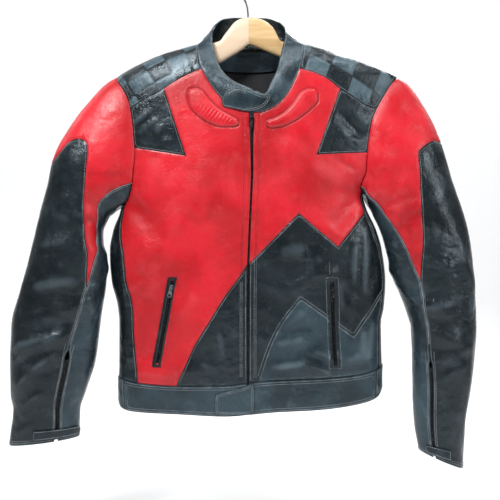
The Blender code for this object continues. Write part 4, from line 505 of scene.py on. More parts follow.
def leather(name, deep, main, mark_colour, rough, mark_share=0.5, creased=0.5, rumpled=0.6, tint=COOL, checks=None):
    """Aged hide: blotchy colour, pebble grain, fine cracks, ridges and seam edges paler from wear and a
    painted highlight, crease troughs and rims darker with painted shade.
    """
    n = Nodes(name)
    blotch = n.spread(n.noise(11, 4), 0.34, 0.66)
    colour = n.mix(blotch, deep, main)
    # ridges and random patches go toward the paler colour: real wear and a painted highlight on the raised
    # folds
    patch = n.spread(n.noise(34, 5, rough=0.65), 0.52, 0.72)
    height = n.spread(n.stored("relief"), 0.7, 2.8)
    rubbed_and_sheen = n.times(n.math("ADD", height, n.times(patch, 0.35)), mark_share, clamp=True)
    if checks:
        colour = checks(n, colour)
    colour = n.mix(rubbed_and_sheen, colour, mark_colour)
    # painted shade: the colour darkens in the troughs of the creases
    low = n.spread(n.stored("relief"), -0.1, -1.2)
    colour = n.mix(n.times(low, 0.45), colour, [0.45 * c for c in deep])
    # painted shade: the colour darkens along the rim, where the edge rolls down into the seam
    edge = n.spread(n.stored("rim"), 0.0, 1.3, 1.0, 0.0)
    colour = n.mix(n.times(edge, 0.72), colour, [0.3 * c for c in deep])
    # a paler band just inside the rim, in patches: real scuffing and a painted highlight on the lip of the
    # rolled edge
    lip = n.times(n.spread(n.stored("rim"), 1.2, 2.2), n.spread(n.stored("rim"), 2.4, 5.5, 1.0, 0.0))
    scuff_and_sheen = n.spread(n.noise(60, 3), 0.42, 0.68)
    colour = n.mix(n.times(n.times(lip, scuff_and_sheen), 0.55 * mark_share + 0.08), colour, mark_colour)
    speck = n.spread(n.noise(900, 2), 0.35, 0.65, 0.9, 1.08)
    colour = n.mix(1.0, colour, speck, "MULTIPLY")
    dull = n.spread(n.noise(23, 4), 0.3, 0.7, rough - 0.07, rough + 0.1)
    dull = n.math("ADD", dull, n.spread(n.noise(700, 2), 0.3, 0.7, -0.04, 0.05))
    pebbles = n.cells(820)
    pores = n.noise(1500, 2)
    cracks = n.spread(n.cells(165, "DISTANCE_TO_EDGE"), 0.0, 0.09)
    strength = n.spread(n.noise(15, 3), 0.4, 0.62, 0.12, 1.0)
    cracked = n.times(cracks, strength)
    soft = n.noise(48, 4, stretch=(1.0, 1.0, 0.6))
    wrinkles = n.wrinkle(17, (1.0, 1.0, 1.5), 0.16)
    small = n.wrinkle(60, (1.2, 1.2, 0.8), 0.22)
    n.bump([(soft, 0.0026, rumpled), (wrinkles, 0.0022, creased), (small, 0.0007, 0.7 * creased),
            (cracked, 0.00018, 0.5), (pebbles, 0.0002, 0.6), (pores, 0.00008, 0.5)])
    return n.finish(colour, dull, Specular_IOR_Level=0.5, Specular_Tint=(*tint, 1.0))


def check_squares(n, colour):
    """Grey squares on the black of the yoke, with a sunk seam round each."""
    axes = n.add("ShaderNodeSeparateXYZ")
    n.put(axes.inputs[0], n.stored("square", "Vector"))
    shares, lines = [], []
    for socket in axes.outputs[:2]:
        whole = n.math("FLOOR", socket)
        part = n.math("SUBTRACT", socket, whole)
        shares.append(whole)
        lines.append(n.math("MINIMUM", part, n.math("SUBTRACT", 1.0, part)))
    odd = n.math("MODULO", n.math("ADD", n.math("ADD", shares[0], shares[1]), 40.0), 2.0)
    grey = n.mix(n.spread(n.noise(30, 4), 0.35, 0.65), SLATE_MAIN, CHECK_PALE)
    result = n.mix(n.math("GREATER_THAN", odd, 0.5), colour, grey)
    # painted shade: the sunk seam between squares is coloured near black
    seam = n.spread(n.math("MINIMUM", lines[0], lines[1]), 0.012, 0.05, 1.0, 0.0)
    return n.mix(n.times(seam, 0.85), result, (0.004, 0.005, 0.006))


def woven(name, colour, scale=900.0, rough=0.8):
    n = Nodes(name)
    wave = n.add("ShaderNodeTexWave", wave_type="BANDS", bands_direction="DIAGONAL")
    n.put(wave.inputs["Vector"], n.place)
    n.put(wave.inputs["Scale"], scale)
    n.put(wave.inputs["Distortion"], 1.5)
    shade = n.spread(n.noise(40, 3), 0.3, 0.7, 0.75, 1.25)
    n.bump([(wave.outputs["Fac"], 0.0002, 0.5), (n.noise(90, 3), 0.0008, 0.4)])
    return n.finish(n.mix(1.0, colour, shade, "MULTIPLY"), rough, Sheen_Weight=0.25, Sheen_Roughness=0.5)


def metal(name, colour, rough, mark_colour=(0.5, 0.5, 0.5), mark_share=0.2):
    n = Nodes(name)
    marks = n.spread(n.noise(420, 5), 0.5, 0.75)
    tint = n.mix(n.times(marks, mark_share), colour, mark_colour)
    n.bump([(n.noise(900, 3), 0.00006, 0.4)])
    return n.finish(tint, n.spread(n.noise(160, 3), 0.3, 0.7, rough - 0.08, rough + 0.12), Metallic=1.0)


def timber(name):
    n = Nodes(name)
    grain = n.noise(16, 6, stretch=(0.5, 6.0, 5.0), rough=0.6)
    fine = n.noise(70, 4, stretch=(0.25, 8.0, 8.0))
    colour = n.mix(n.spread(grain, 0.3, 0.7), (0.50, 0.32, 0.14), (0.66, 0.46, 0.23))
    half = n.add("ShaderNodeSeparateXYZ")
    n.put(half.inputs[0], n.place)
    pale = n.spread(half.outputs[0], 0.0005, 0.0011, 1.0, 0.0)
    colour = n.mix(n.times(pale, 0.75), colour, (0.70, 0.55, 0.42))
    joint = n.times(n.spread(half.outputs[0], 0.0003, 0.0008),
                    n.spread(half.outputs[0], 0.0008, 0.0013, 1.0, 0.0))
    colour = n.mix(n.times(joint, 0.6), colour, (0.22, 0.12, 0.05))
    colour = n.mix(n.spread(fine, 0.55, 0.75, 0.0, 0.3), colour, (0.38, 0.2, 0.08))
    n.bump([(fine, 0.0002, 0.35)])
    return n.finish(colour, n.spread(grain, 0.3, 0.7, 0.36, 0.5), Coat_Weight=0.25, Coat_Roughness=0.2)


def thread(name, colour):
    n = Nodes(name)
    twist = n.noise(2600, 1)
    n.bump([(twist, 0.0001, 0.5)])
    return n.finish(n.mix(n.spread(n.noise(60, 2), 0.3, 0.7), [0.55 * c for c in colour], colour), 0.75)


# the third colour of each leather stands for both rubbed leather and a painted highlight
RED_DEEP, RED_MAIN, RED_WORN_AND_SHEEN = (0.42, 0.003, 0.008), (0.61, 0.006, 0.017), (0.78, 0.08, 0.10)
BLACK_DEEP, BLACK_MAIN, BLACK_WORN_AND_SHEEN = (0.003, 0.005, 0.006), (0.009, 0.014, 0.017), (0.08, 0.11, 0.13)
SLATE_DEEP, SLATE_MAIN, SLATE_WORN_AND_SHEEN = (0.009, 0.016, 0.021), (0.028, 0.048, 0.061), (0.13, 0.18, 0.21)

LOOKS = {
    "red": leather("red_leather", RED_DEEP, RED_MAIN, RED_WORN_AND_SHEEN, 0.36, mark_share=0.4, creased=0.14,
                   rumpled=0.3, tint=(1.0, 0.95, 0.95)),
    "black": leather("black_leather", BLACK_DEEP, BLACK_MAIN, BLACK_WORN_AND_SHEEN, 0.27, mark_share=0.5, creased=0.4),
    "slate": leather("slate_leather", SLATE_DEEP, SLATE_MAIN, SLATE_WORN_AND_SHEEN, 0.30, mark_share=0.6, creased=0.3),
    "check": leather("check_leather", BLACK_DEEP, BLACK_MAIN, BLACK_WORN_AND_SHEEN, 0.30, mark_share=0.12,
                     checks=check_squares),
    "lining": woven("lining_cloth", (0.014, 0.015, 0.018)),
    "tape": woven("zip_tape_weave", (0.010, 0.010, 0.011), 1400.0, 0.7),
    "teeth": metal("zip_teeth_metal", (0.035, 0.035, 0.038), 0.34, mark_share=0.5),
    "steel": metal("plated_steel", (0.30, 0.30, 0.31), 0.22, mark_colour=(0.10, 0.10, 0.10), mark_share=0.6),
    "dark_metal": metal("dark_plated_metal", (0.035, 0.035, 0.04), 0.33, mark_share=0.35),
    "wood": timber("hanger_timber"),
    "grey_thread": thread("grey_thread", (0.27, 0.30, 0.32)),
    "red_thread": thread("red_thread", (0.40, 0.012, 0.02)),
    "piping": thread("piping_cord", (0.22, 0.24, 0.26)),
}


# ---------------------------------------------------------------- lines, loops and smooth tables
def unit(vectors):
    return vectors / np.maximum(np.linalg.norm(vectors, axis=-1, keepdims=True), TINY)


def leftward(runs):
    """Flat directions turned a quarter to the left."""
    return unit(np.stack([-runs[:, 1], runs[:, 0]], -1))


def loop_runs(loop):
    """At each corner of a closed line, the run from the corner before to the corner after."""
    return np.roll(loop, -1, axis=0) - np.roll(loop, 1, axis=0)


def lengths_along(points):
    """Distance from a line's start to each of its points."""
    return np.concatenate([[0], np.cumsum(np.linalg.norm(np.diff(points, axis=0), axis=1))])


def at_lengths(points, at, spots):
    return np.stack([np.interp(spots, at, column) for column in points.T], -1)


def spaced(stops, step):
    """Numbers from the first stop to the last, about a step apart, that include each stop."""
    made = []
    for low, high in zip(stops, stops[1:]):
        count = max(1, round((high - low) / step))
        made += [low + (high - low) * i / count for i in range(count)]
    return np.array([*made, float(stops[-1])])


def stretch(values, start, end, slack=SAME):
    """The values from start to end, in that direction."""
    low, high = min(start, end), max(start, end)
    picked = values[(values >= low - slack) & (values <= high + slack)]
    return picked if start < end else picked[::-1]


def half_turn(angle):
    """The same angle between -180 and 180."""
    return (angle + 180) % 360 - 180


def level(values, height):
    """Raw points at one height."""
    return np.stack([values, height + 0 * values], -1)


def smooth(rows, column, at):
    """Monotone cubic through one column of a table, over its first column."""
    knots = np.array([row[0] for row in rows], float)
    values = np.array([row[column] for row in rows], float)
    gaps = np.diff(knots)
    rises = np.diff(values) / gaps
    slopes = np.zeros_like(values)
    slopes[0], slopes[-1] = rises[0], rises[-1]
    for i in range(1, len(knots) - 1):
        if rises[i - 1] * rises[i] > 0:
            first = 2 * gaps[i] + gaps[i - 1]
            second = gaps[i] + 2 * gaps[i - 1]
            slopes[i] = (first + second) / (first / rises[i - 1] + second / rises[i])
    at = np.asarray(at, float)
    k = np.clip(np.searchsorted(knots, at) - 1, 0, len(gaps) - 1)
    t = np.clip((at - knots[k]) / gaps[k], 0, 1)
    near = values[k] * (1 + 2 * t) * (1 - t) ** 2 + slopes[k] * gaps[k] * t * (1 - t) ** 2
    far = values[k + 1] * t * t * (3 - 2 * t) + slopes[k + 1] * gaps[k] * t * t * (t - 1)
    return near + far


def ease(t):
    t = np.clip(t, 0, 1)
    return t * t * (3 - 2 * t)


def fold_heights(rows, across, along, across_scale=1.0):
    """Sum of soft ridges, each along a line between two points."""
    total = np.zeros(np.broadcast(across, along).shape)
    for a0, b0, a1, b1, height, width in rows:
        run = np.array([(a1 - a0) * across_scale, b1 - b0])
        span = float(run @ run)
        da = (across - a0) * across_scale
        db = along - b0
        t = (da * run[0] + db * run[1]) / span
        reach = np.hypot(da - np.clip(t, 0, 1) * run[0], db - np.clip(t, 0, 1) * run[1])
        taper = ease((t + 0.15) / 0.4) * ease((1.15 - t) / 0.4)
        total += height * taper * np.exp(-((reach / width) ** 2) / 1.6)
    return total


# ---------------------------------------------------------------- torso
def torso_base(angle, drop):
    angle, drop = np.radians(np.asarray(angle, float)), np.asarray(drop, float)
    s, c = np.sin(angle), np.cos(angle)
    power = np.where(c > 0, ROUND_FRONT, ROUND_BACK)
    size = (np.abs(s) ** power + np.abs(c) ** power) ** (1 / power)
    x = np.where(s > 0, smooth(TORSO, 2, drop), smooth(TORSO, 1, drop)) * s / size
    y = -np.where(c > 0, smooth(TORSO, 3, drop), smooth(TORSO, 4, drop)) * c / size
    return np.stack([x, y, -drop + 0 * x], -1)


def on_both_faces(front_rows, back_rows, point, fade):
    """Folds of the front and of the back, which fade out towards the silhouette."""
    x, y, drop = point[..., 0], point[..., 1], -point[..., 2]
    start, over = fade
    front = fold_heights(front_rows, x, drop) * ease((-y - start) / over)
    return front + fold_heights(back_rows, x, drop) * ease((y - start) / over)


def torso_folds(angle, drop):
    point = torso_base(angle, drop)
    clear = ease((235 - np.abs(point[..., 0])) / 25 + (drop > 440))
    return on_both_faces(FRONT_FOLDS, BACK_FOLDS, point, FOLD_FADE) * clear


def angle_from_x(x, drop, front=True):
    """Angle of the torso point seen at x, on the front or the back."""
    x = np.asarray(x, float)
    half = np.where(x > 0, smooth(TORSO, 2, drop), smooth(TORSO, 1, drop))
    power = ROUND_FRONT if front else ROUND_BACK
    e = np.clip(np.abs(x) / half, 0, 1)
    angle = np.degrees(np.arctan2(e, (1 - e ** power) ** (1 / power)))
    angle = angle if front else 180 - angle
    return np.where(x < 0, -angle, angle)


def angle_from_depth(forward, drop, side, front=True):
    """Angle of the torso point that lies `forward` (or back) of the middle plane."""
    power = ROUND_FRONT if front else ROUND_BACK
    e = forward / smooth(TORSO, 3 if front else 4, drop)
    angle = np.degrees(np.arctan2((1 - e ** power) ** (1 / power), e))
    return side * (angle if front else 180 - angle)


def armhole_turns(side):
    start = float(UNDER[side][0][0])
    stops = (0, YOKE_TURN[side], INSERT_TURN[side], start, SIDE_FRONT_TURN, 180, SIDE_BACK_TURN,
             360 - start, BACK_YOKE_TURN, 360)
    return spaced(stops, ARMHOLE_STEP)


def armhole(side, turn):
    """(angle, drop) on the torso of the armhole seam at a turn of the sleeve."""
    turn = np.asarray(turn, float) % 360
    front = turn <= 180
    rows = ARMHOLE[side]
    folded = np.where(front, turn, 360 - turn)
    drop = smooth(rows, 1, folded)
    inset = smooth(rows, 2, folded)
    half = smooth(TORSO, 1 if side < 0 else 2, drop)
    x = side * (half - inset)
    return np.stack([np.where(front, angle_from_x(x, drop), angle_from_x(x, drop, False)), drop], -1)


def armhole_run(side, start, end):
    """Turns from one to another, always at the shared turns."""
    turns = armhole_turns(side)
    turns = np.concatenate([turns[:-1] - 360, turns])
    return stretch(np.unique(np.round(turns, 6)), start, end)


# ---------------------------------------------------------------- sleeves
@functools.cache
def sleeve_rows(side):
    along, rows, last = 0.0, [], None
    for ring in SLEEVE[side]:
        middle = ((ring[0] + ring[2]) / 2, (ring[1] + ring[3]) / 2)
        if last:
            along += math.dist(middle, last)
        last = middle
        rows.append((along, *ring))
    return rows


def sleeve_length(side):
    return sleeve_rows(side)[-1][0]


def sleeve_ring(side, turn, along):
    rows = sleeve_rows(side)
    value = [smooth(rows, k, along) for k in range(1, 7)]
    turn = np.radians(turn)
    share = (1 - np.cos(turn)) / 2
    x = value[0] + (value[2] - value[0]) * share
    drop = value[1] + (value[3] - value[1]) * share
    return np.stack([x, -value[5] - value[4] * np.sin(turn), -drop], -1)


def sleeve_base(side, turn, along):
    turn, along = np.broadcast_arrays(np.asarray(turn, float), np.asarray(along, float))
    seam = armhole(side, turn)
    angle, drop = seam[..., 0], seam[..., 1]
    shift = TORSO_SKIN.skin(angle, drop) - sleeve_ring(side, turn, 0 * along)
    fade = 1 - ease(along / CAP_REACH)
    return sleeve_ring(side, turn, along) + shift * fade[..., None]


def sleeve_folds(turn, along, length):
    turn = np.asarray(turn, float) % 360
    clear = ease((along - 20) / FOLD_CLEAR) * ease((length - along) / 40)
    return fold_heights(SLEEVE_FOLDS, turn, along, TURN_SCALE) * clear


# ---------------------------------------------------------------- collar
def neck(turn):
    """(angle, drop) on the torso of the neck seam; turn is negative on the left."""
    turn = np.asarray(turn, float)
    result = np.zeros(turn.shape + (2,))
    for side, rows in NECK.items():
        ridge = float(smooth(TORSO, 1 if side < 0 else 2, 121.0))
        rows = [(row[0], side * ridge if row[1] is None else row[1], row[2]) for row in rows]
        t = np.abs(turn)
        drop = smooth(rows, 2, t)
        x = smooth(rows, 1, t)
        angle = np.where(t > 90, angle_from_x(x, drop), angle_from_x(x, drop, False))
        angle = np.where((x > 0) == (side > 0), angle, np.where(t > 90, angle, side * 180.0))
        pick = (turn < 0) if side < 0 else (turn >= 0)
        result[pick] = np.stack([angle, drop], -1)[pick]
    return result


def collar_base(turn, rise):
    turn, rise = np.broadcast_arrays(np.asarray(turn, float), np.asarray(rise, float))
    turn = half_turn(turn)
    seam = neck(turn)
    low = torso_base(seam[..., 0], seam[..., 1])
    top = np.zeros(low.shape)
    for side, rows in COLLAR_TOP.items():
        t = np.abs(turn)
        loop = np.stack([smooth(rows, 1, t), smooth(rows, 2, t), -smooth(rows, 3, t)], -1)
        pick = (turn < 0) if side < 0 else (turn >= 0)
        top[pick] = loop[pick]
    share = (rise / COLLAR_RISE)[..., None]
    out = low * np.array([1, 1, 0])
    out = out / np.maximum(np.linalg.norm(out, axis=-1, keepdims=True), 1)
    return low + (top - low) * share + out * COLLAR_BULGE * 4 * share * (1 - share)


def collar_tab_base(x, drop):
    """Sheet that the collar tab lies on; its first coordinate is x."""
    x, drop = np.broadcast_arrays(np.asarray(x, float), np.asarray(drop, float))
    u, v = x / 40, (drop - 230) / 22
    terms = (1 + 0 * u, u, v, u * u, u * v, v * v, u ** 3, u * u * v, u * v * v, v ** 3)
    forward = sum(share * term for share, term in zip(COLLAR_TAB_SHEET, terms))
    return np.stack([x, -forward, -drop], -1)


# ---------------------------------------------------------------- noise and fine creases
def lattice(cell, seed):
    """A fixed number from -1 to 1 for each lattice cell."""
    mixed = cell[..., 0] * 73856093 ^ cell[..., 1] * 19349663 ^ cell[..., 2] * 83492791 ^ seed * 2654435
    mixed = (mixed ^ (mixed >> 13)) * 1274126177
    return ((mixed ^ (mixed >> 16)) & 0xFFFF) / 32767.5 - 1.0


def noise(points, size, seed):
    """Smooth noise from -1 to 1 whose cells measure `size` mm, a number or one for each axis."""
    spots = points / np.asarray(size, float)
    cell = np.floor(spots).astype(np.int64)
    part = spots - cell
    part = part * part * (3 - 2 * part)
    total = np.zeros(points.shape[:-1])
    for corner in itertools.product((0, 1), repeat=3):
        weight = np.prod(np.where(np.array(corner) == 1, part, 1 - part), axis=-1)
        total += weight * lattice(cell + np.array(corner), seed)
    return total


def crackle(points, size, depth, seed):
    """Narrow troughs along the lines where a noise crosses zero, uneven in depth."""
    line = (1 - np.abs(noise(points, size, seed))) ** 7
    patch = ease(noise(points, np.asarray(size) * 2.3, seed + 5) * 0.9 + 0.55)
    return -depth * line * patch


def torso_fine(angle, drop):
    """Creases of the trunk; the dark lower right, as seen, is the most rumpled."""
    point = torso_base(angle, drop)
    x = point[..., 0]
    dark = ease((drop - 505 + 0.9 * np.minimum(x, 0)) / 40) * ease((x + 110) / 30)
    rough = 0.35 + 0.65 * dark
    total = on_both_faces(FRONT_CREASES, BACK_CREASES, point, CREASE_FADE)
    total += 0.55 * noise(point, (60, 60, 85), 3)
    total += rough * crackle(point, (34, 34, 46), 0.75, 11)
    total += 0.16 * noise(point, (11, 11, 15), 17) * rough
    return np.clip(total, LOWEST, HIGHEST)


def sleeve_fine(side, turn, along):
    point = sleeve_ring(side, turn, along)
    clear = ease((along - 4) / 22)
    turned = np.asarray(turn, float) % 360
    creases = fold_heights(SLEEVE_CREASES[side], turned, along, TURN_SCALE)
    total = creases + 0.6 * noise(point, (40, 40, 60), 23) + crackle(point, (30, 30, 34), 0.9, 29)
    total += 0.18 * noise(point, (10, 10, 13), 31)
    return np.clip(total * clear, LOWEST, HIGHEST + 0.2)


def collar_fine(turn, rise):
    point = collar_base(turn, rise)
    total = 0.7 * noise(point, (26, 26, 20), 41) + crackle(point, (24, 24, 18), 0.7, 43)
    calm = 1 - 0.75 * ease((np.abs(half_turn(turn)) - 140) / 12)
    return np.clip(total, -1.2, 1.4) * ease((COLLAR_RISE - rise) / 6 + 0.4) * calm


def tab_fine(x, drop):
    point = collar_tab_base(x, drop)
    return 0.4 * noise(point, (22, 22, 16), 47) + crackle(point, (20, 20, 14), 0.5, 49)


# ---------------------------------------------------------------- surfaces
class Surface:
    """A base surface with its large folds, its fine creases and the range of its second coordinate."""

    def __init__(self, base, folds, fine, flip, span):
        self.base = base
        self.folds = folds
        self.fine = fine
        self.flip = flip
        self.span = span

    def normal(self, a, b):
        ha, hb = 0.4, 0.5
        da = self.base(a + ha, b) - self.base(a - ha, b)
        db = self.base(a, b + hb) - self.base(a, b - hb)
        return unit(np.cross(da, db) * self.flip)

    def skin(self, a, b):
        point = self.base(a, b)
        if self.folds is None:
            return point
        return point + self.normal(a, b) * self.folds(a, b)[..., None]

    def at(self, raw):
        """Points and normals at raw places."""
        return self.skin(raw[:, 0], raw[:, 1]), self.normal(raw[:, 0], raw[:, 1])

    def detail(self, raw):
        """Height of the fine creases at raw places."""
        return self.fine(raw[:, 0], raw[:, 1])

    def arcs(self, centre, b):
        """Angles from centre-180 to centre+180 and their arc lengths, for each b."""
        angles = np.linspace(centre - 180, centre + 180, 145)
        points = self.base(angles[None, :], np.asarray(b, float)[:, None])
        steps = np.linalg.norm(np.diff(points, axis=1), axis=-1)
        sums = np.concatenate([np.zeros((len(steps), 1)), np.cumsum(steps, axis=1)], axis=1)
        return angles, sums - sums[:, [72]]


class SheetChart:
    """A chart whose coordinates are already flat."""

    def __init__(self, surface):
        self.surface = surface

    def flat(self, raw):
        return raw

    def raw(self, flat):
        return flat


class TubeChart:
    """Flattens a stretch of a tube: arc length from `centre`, and the second coordinate."""

    rows = 161

    def __init__(self, surface, centre):
        self.surface = surface
        self.low, high = surface.span
        levels = np.linspace(self.low, high, self.rows)
        self.gap = levels[1] - levels[0]
        self.angles, self.sums = surface.arcs(centre, levels)
        self.centre = centre

    def row(self, b):
        place = (b - self.low) / self.gap
        j = np.clip(np.floor(place).astype(int), 0, self.rows - 2)
        return j, np.clip(place - j, 0, 1)[:, None]

    def flat(self, raw):
        j, s = self.row(raw[:, 1])
        turned = (raw[:, 0] - self.centre + 180) % 360
        place = turned / (self.angles[1] - self.angles[0])
        i = np.clip(np.floor(place).astype(int), 0, 143)
        t = (place - i)[:, None]
        near = self.sums[j, i][:, None] * (1 - s) + self.sums[j + 1, i][:, None] * s
        far = self.sums[j, i + 1][:, None] * (1 - s) + self.sums[j + 1, i + 1][:, None] * s
        return np.concatenate([near * (1 - t) + far * t, raw[:, 1:2]], axis=1)

    def raw(self, flat):
        j, s = self.row(flat[:, 1])
        sums = self.sums[j] * (1 - s) + self.sums[j + 1] * s
        i = np.clip((sums < flat[:, :1]).sum(axis=1) - 1, 0, 143)
        rows = np.arange(len(flat))
        near, far = sums[rows, i], sums[rows, i + 1]
        t = (flat[:, 0] - near) / np.maximum(far - near, 1e-9)
        return np.stack([self.angles[i] + t * (self.angles[1] - self.angles[0]), flat[:, 1]], -1)


class RidgeChart:
    """Flattens a yoke: x, and the arc length over the shoulder ridge at that x."""

    reach = 120.0
    columns = 241

    def __init__(self, side):
        self.surface = TORSO_SKIN
        self.start = 50.0
        rows = [self.profile(side * (self.start + i)) for i in range(self.columns)]
        self.side = side
        self.angle, self.drop, self.sums = (np.array(part) for part in zip(*rows))

    def profile(self, x):
        column = 1 if x < 0 else 2
        drops = np.linspace(112, 260, 400)
        ridge = np.interp(abs(x), np.maximum.accumulate(smooth(TORSO, column, drops)), drops)
        q = np.linspace(-1, 1, 121)
        drop = ridge + q * q * self.reach
        angle = np.where(q < 0, angle_from_x(x + 0 * q, drop), angle_from_x(x + 0 * q, drop, False))
        angle[60] = math.copysign(90, x)
        points = torso_base(angle, drop)
        sums = lengths_along(points)
        return angle, drop, sums - sums[60]

    def between(self, x):
        place = abs(x) - self.start
        j = min(max(int(place), 0), self.columns - 2)
        s = min(max(place - j, 0.0), 1.0)
        return [table[j] * (1 - s) + table[j + 1] * s for table in (self.angle, self.drop, self.sums)]

    def flat(self, raw):
        points = torso_base(raw[:, 0], raw[:, 1])
        result = []
        for drop, point in zip(raw[:, 1], points):
            _, drops, sums = self.between(point[0])
            half = slice(0, 61) if point[1] < 0 else slice(60, 121)
            order = slice(None, None, -1) if point[1] < 0 else slice(None)
            result.append([point[0], np.interp(drop, drops[half][order], sums[half][order])])
        return np.array(result)

    def raw(self, flat):
        result = []
        for x, w in flat:
            angle, drop, sums = self.between(x)
            result.append([np.interp(w, sums, angle), np.interp(w, sums, drop)])
        return np.array(result).reshape(-1, 2)


TORSO_SKIN = Surface(torso_base, torso_folds, torso_fine, -1.0, (100.0, 810.0))
COLLAR_SKIN = Surface(collar_base, None, collar_fine, -1.0, (-6.0, 52.0))


def sleeve_skin(side):
    length = sleeve_length(side)
    return Surface(
        lambda a, b: sleeve_base(side, a, b),
        lambda a, b: sleeve_folds(a, b, length),
        lambda a, b: sleeve_fine(side, a, b),
        1.0 if side > 0 else -1.0,
        (-8.0, length + 8.0),
    )


# ---------------------------------------------------------------- outlines
def resample(points, step=SEAM_STEP):
    """Even points along a line through the given ones, smoothed at its inner points."""
    points = np.asarray(points, float)
    at = lengths_along(points)
    steps = np.linspace(0, at[-1], max(1, math.ceil(at[-1] / step)) + 1)
    if len(points) == 2:
        return at_lengths(points, at, steps)
    rows = [(a, *p) for a, p in zip(at, points)]
    return np.stack([smooth(rows, k, steps) for k in (1, 2)], -1)


def seen(points, front=True):
    """Torso (angle, drop) of points given as seen: (x, drop)."""
    points = np.asarray(points, float)
    return np.stack([angle_from_x(points[:, 0], points[:, 1], front), points[:, 1]], -1)


def as_seen(raw):
    point = torso_base(raw[..., 0], raw[..., 1])
    return np.stack([point[..., 0], -point[..., 2]], -1)


def join(*runs):
    """One closed outline from runs that share their end points."""
    return np.concatenate([np.asarray(run, float)[:-1] for run in runs])


@functools.cache
def torso_chart(centre):
    return TubeChart(TORSO_SKIN, centre)


# ---------------------------------------------------------------- meshes
def inside(polygon, points):
    result = []
    x0, y0 = polygon[:, 0][None, :], polygon[:, 1][None, :]
    x1, y1 = np.roll(polygon[:, 0], -1)[None, :], np.roll(polygon[:, 1], -1)[None, :]
    rise = np.where(y1 == y0, 1e-12, y1 - y0)
    for k in range(0, len(points), BATCH):
        x, y = points[k:k + BATCH, 0][:, None], points[k:k + BATCH, 1][:, None]
        crosses = (y0 > y) != (y1 > y)
        result.append((crosses & (x < (x1 - x0) * (y - y0) / rise + x0)).sum(axis=1) % 2 == 1)
    return np.concatenate(result) if result else np.zeros(0, bool)


def path_distance(paths, points, closed=False):
    """Distance of each point from the nearest of some paths, and how far along it that spot lies."""
    if closed:
        paths = [np.concatenate([path, path[:1]]) for path in paths]
    starts = np.concatenate([path[:-1] for path in paths])
    ends = np.concatenate([path[1:] for path in paths])
    run = ends - starts
    size = (run * run).sum(-1)
    before = np.concatenate([[0], np.cumsum(np.sqrt(size))[:-1]])
    distance, place = [np.zeros(0)], [np.zeros(0)]
    for k in range(0, len(points), BATCH):
        block = points[k:k + BATCH]
        t = ((block[:, None, :] - starts) * run).sum(-1) / np.maximum(size, 1e-12)
        t = np.clip(t, 0, 1)
        gap = np.linalg.norm(block[:, None, :] - (starts + t[..., None] * run), axis=-1)
        best = gap.argmin(axis=1)
        rows = np.arange(len(block))
        distance.append(gap[rows, best])
        place.append(before[best] + t[rows, best] * np.sqrt(size[best]))
    return np.concatenate(distance), np.concatenate(place)


def rim_distance(loops, points):
    return path_distance(loops, points, closed=True)


def beside(path, offset):
    """A flat path moved sideways, to its left for a positive offset."""
    path = np.asarray(path, float)
    return path + offset * leftward(np.gradient(path, axis=0))


def fill(loops, step, rings, lines=()):
    """Triangles of a flat outline with holes; also the inner points, their rim distance and place."""
    low, high = loops[0].min(axis=0), loops[0].max(axis=0)
    across = np.arange(low[0], high[0] + step, step)
    down = np.arange(low[1] + step / 2, high[1], step * 0.87)
    grid = np.array([(x + 0.5 * step * (j % 2), y) for j, y in enumerate(down) for x in across])
    grid = grid.reshape(-1, 2)
    inner = max(rings, default=0)
    distance, _ = rim_distance(loops, grid)
    grid = grid[(distance > inner + 0.5 * step) & inside(loops[0], grid)]
    if lines:
        distance, _ = path_distance([path for path, _, _ in lines], grid)
        grid = grid[distance > 3.4]
    extra = [grid]
    for path, wide, _ in lines:
        for share in (0.0, 0.55, -0.55, 1.2, -1.2, 2.0, -2.0):
            spots = beside(path, share * wide)
            distance, _ = rim_distance(loops, spots)
            extra.append(spots[(distance > 0.8) & inside(loops[0], spots)])
    for ring in rings:
        for loop in loops:
            spots = loop + ring * leftward(loop_runs(loop))
            distance, _ = rim_distance(loops, spots)
            extra.append(spots[(distance > 0.9 * ring) & inside(loops[0], spots)])
    extra = np.concatenate(extra)
    keep = np.ones(len(extra), bool)
    for hole in loops[1:]:
        keep &= ~inside(hole, extra)
    extra = extra[keep]
    edges, start = [], 0
    for loop in loops:
        count = len(loop)
        edges += [(start + i, start + (i + 1) % count) for i in range(count)]
        start += count
    flat = np.concatenate([*loops, extra])
    made = delaunay_2d_cdt([Vector(p) for p in flat], edges, [], 0, 1e-6, True)
    source = [ids[0] for ids in made[3]]
    faces = np.array([[source[v] for v in face] for face in made[2]])
    middle = flat[faces].mean(axis=1)
    keep = inside(loops[0], middle)
    for hole in loops[1:]:
        keep &= ~inside(hole, middle)
    distance, place = rim_distance(loops, extra)
    return faces[keep], extra, distance, place


def inset_directions(points, normals, counts):
    """For each rim point, the direction into the piece, longer at sharp corners."""
    result = np.zeros_like(points)
    start = 0
    for count in counts:
        part = slice(start, start + count)
        loop = points[part]
        runs = (np.roll(loop, -1, axis=0) - loop, loop - np.roll(loop, 1, axis=0))
        first, second = (unit(np.cross(normals[part], run)) for run in runs)
        dot = (first * second).sum(axis=1, keepdims=True)
        result[part] = (first + second) / np.maximum(1 + dot, 0.25)
        start += count
    return result


def mitre_rim(rim, normals, mitres):
    """Turns rim normals half way to the neighbour's at shared points; gives the gap at each."""
    gap = np.full((len(rim), 1), SEAM_GAP / 2)
    for spots, others in mitres:
        for spot, other in zip(spots, others):
            for i in np.where((np.abs(rim - spot) < SAME).all(axis=1))[0]:
                gap[i] = MITRE_GAP / 2
                if normals[i] @ other > 0.4:
                    mean = normals[i] + other
                    normals[i] = 2 * mean / (mean @ mean)
    return gap


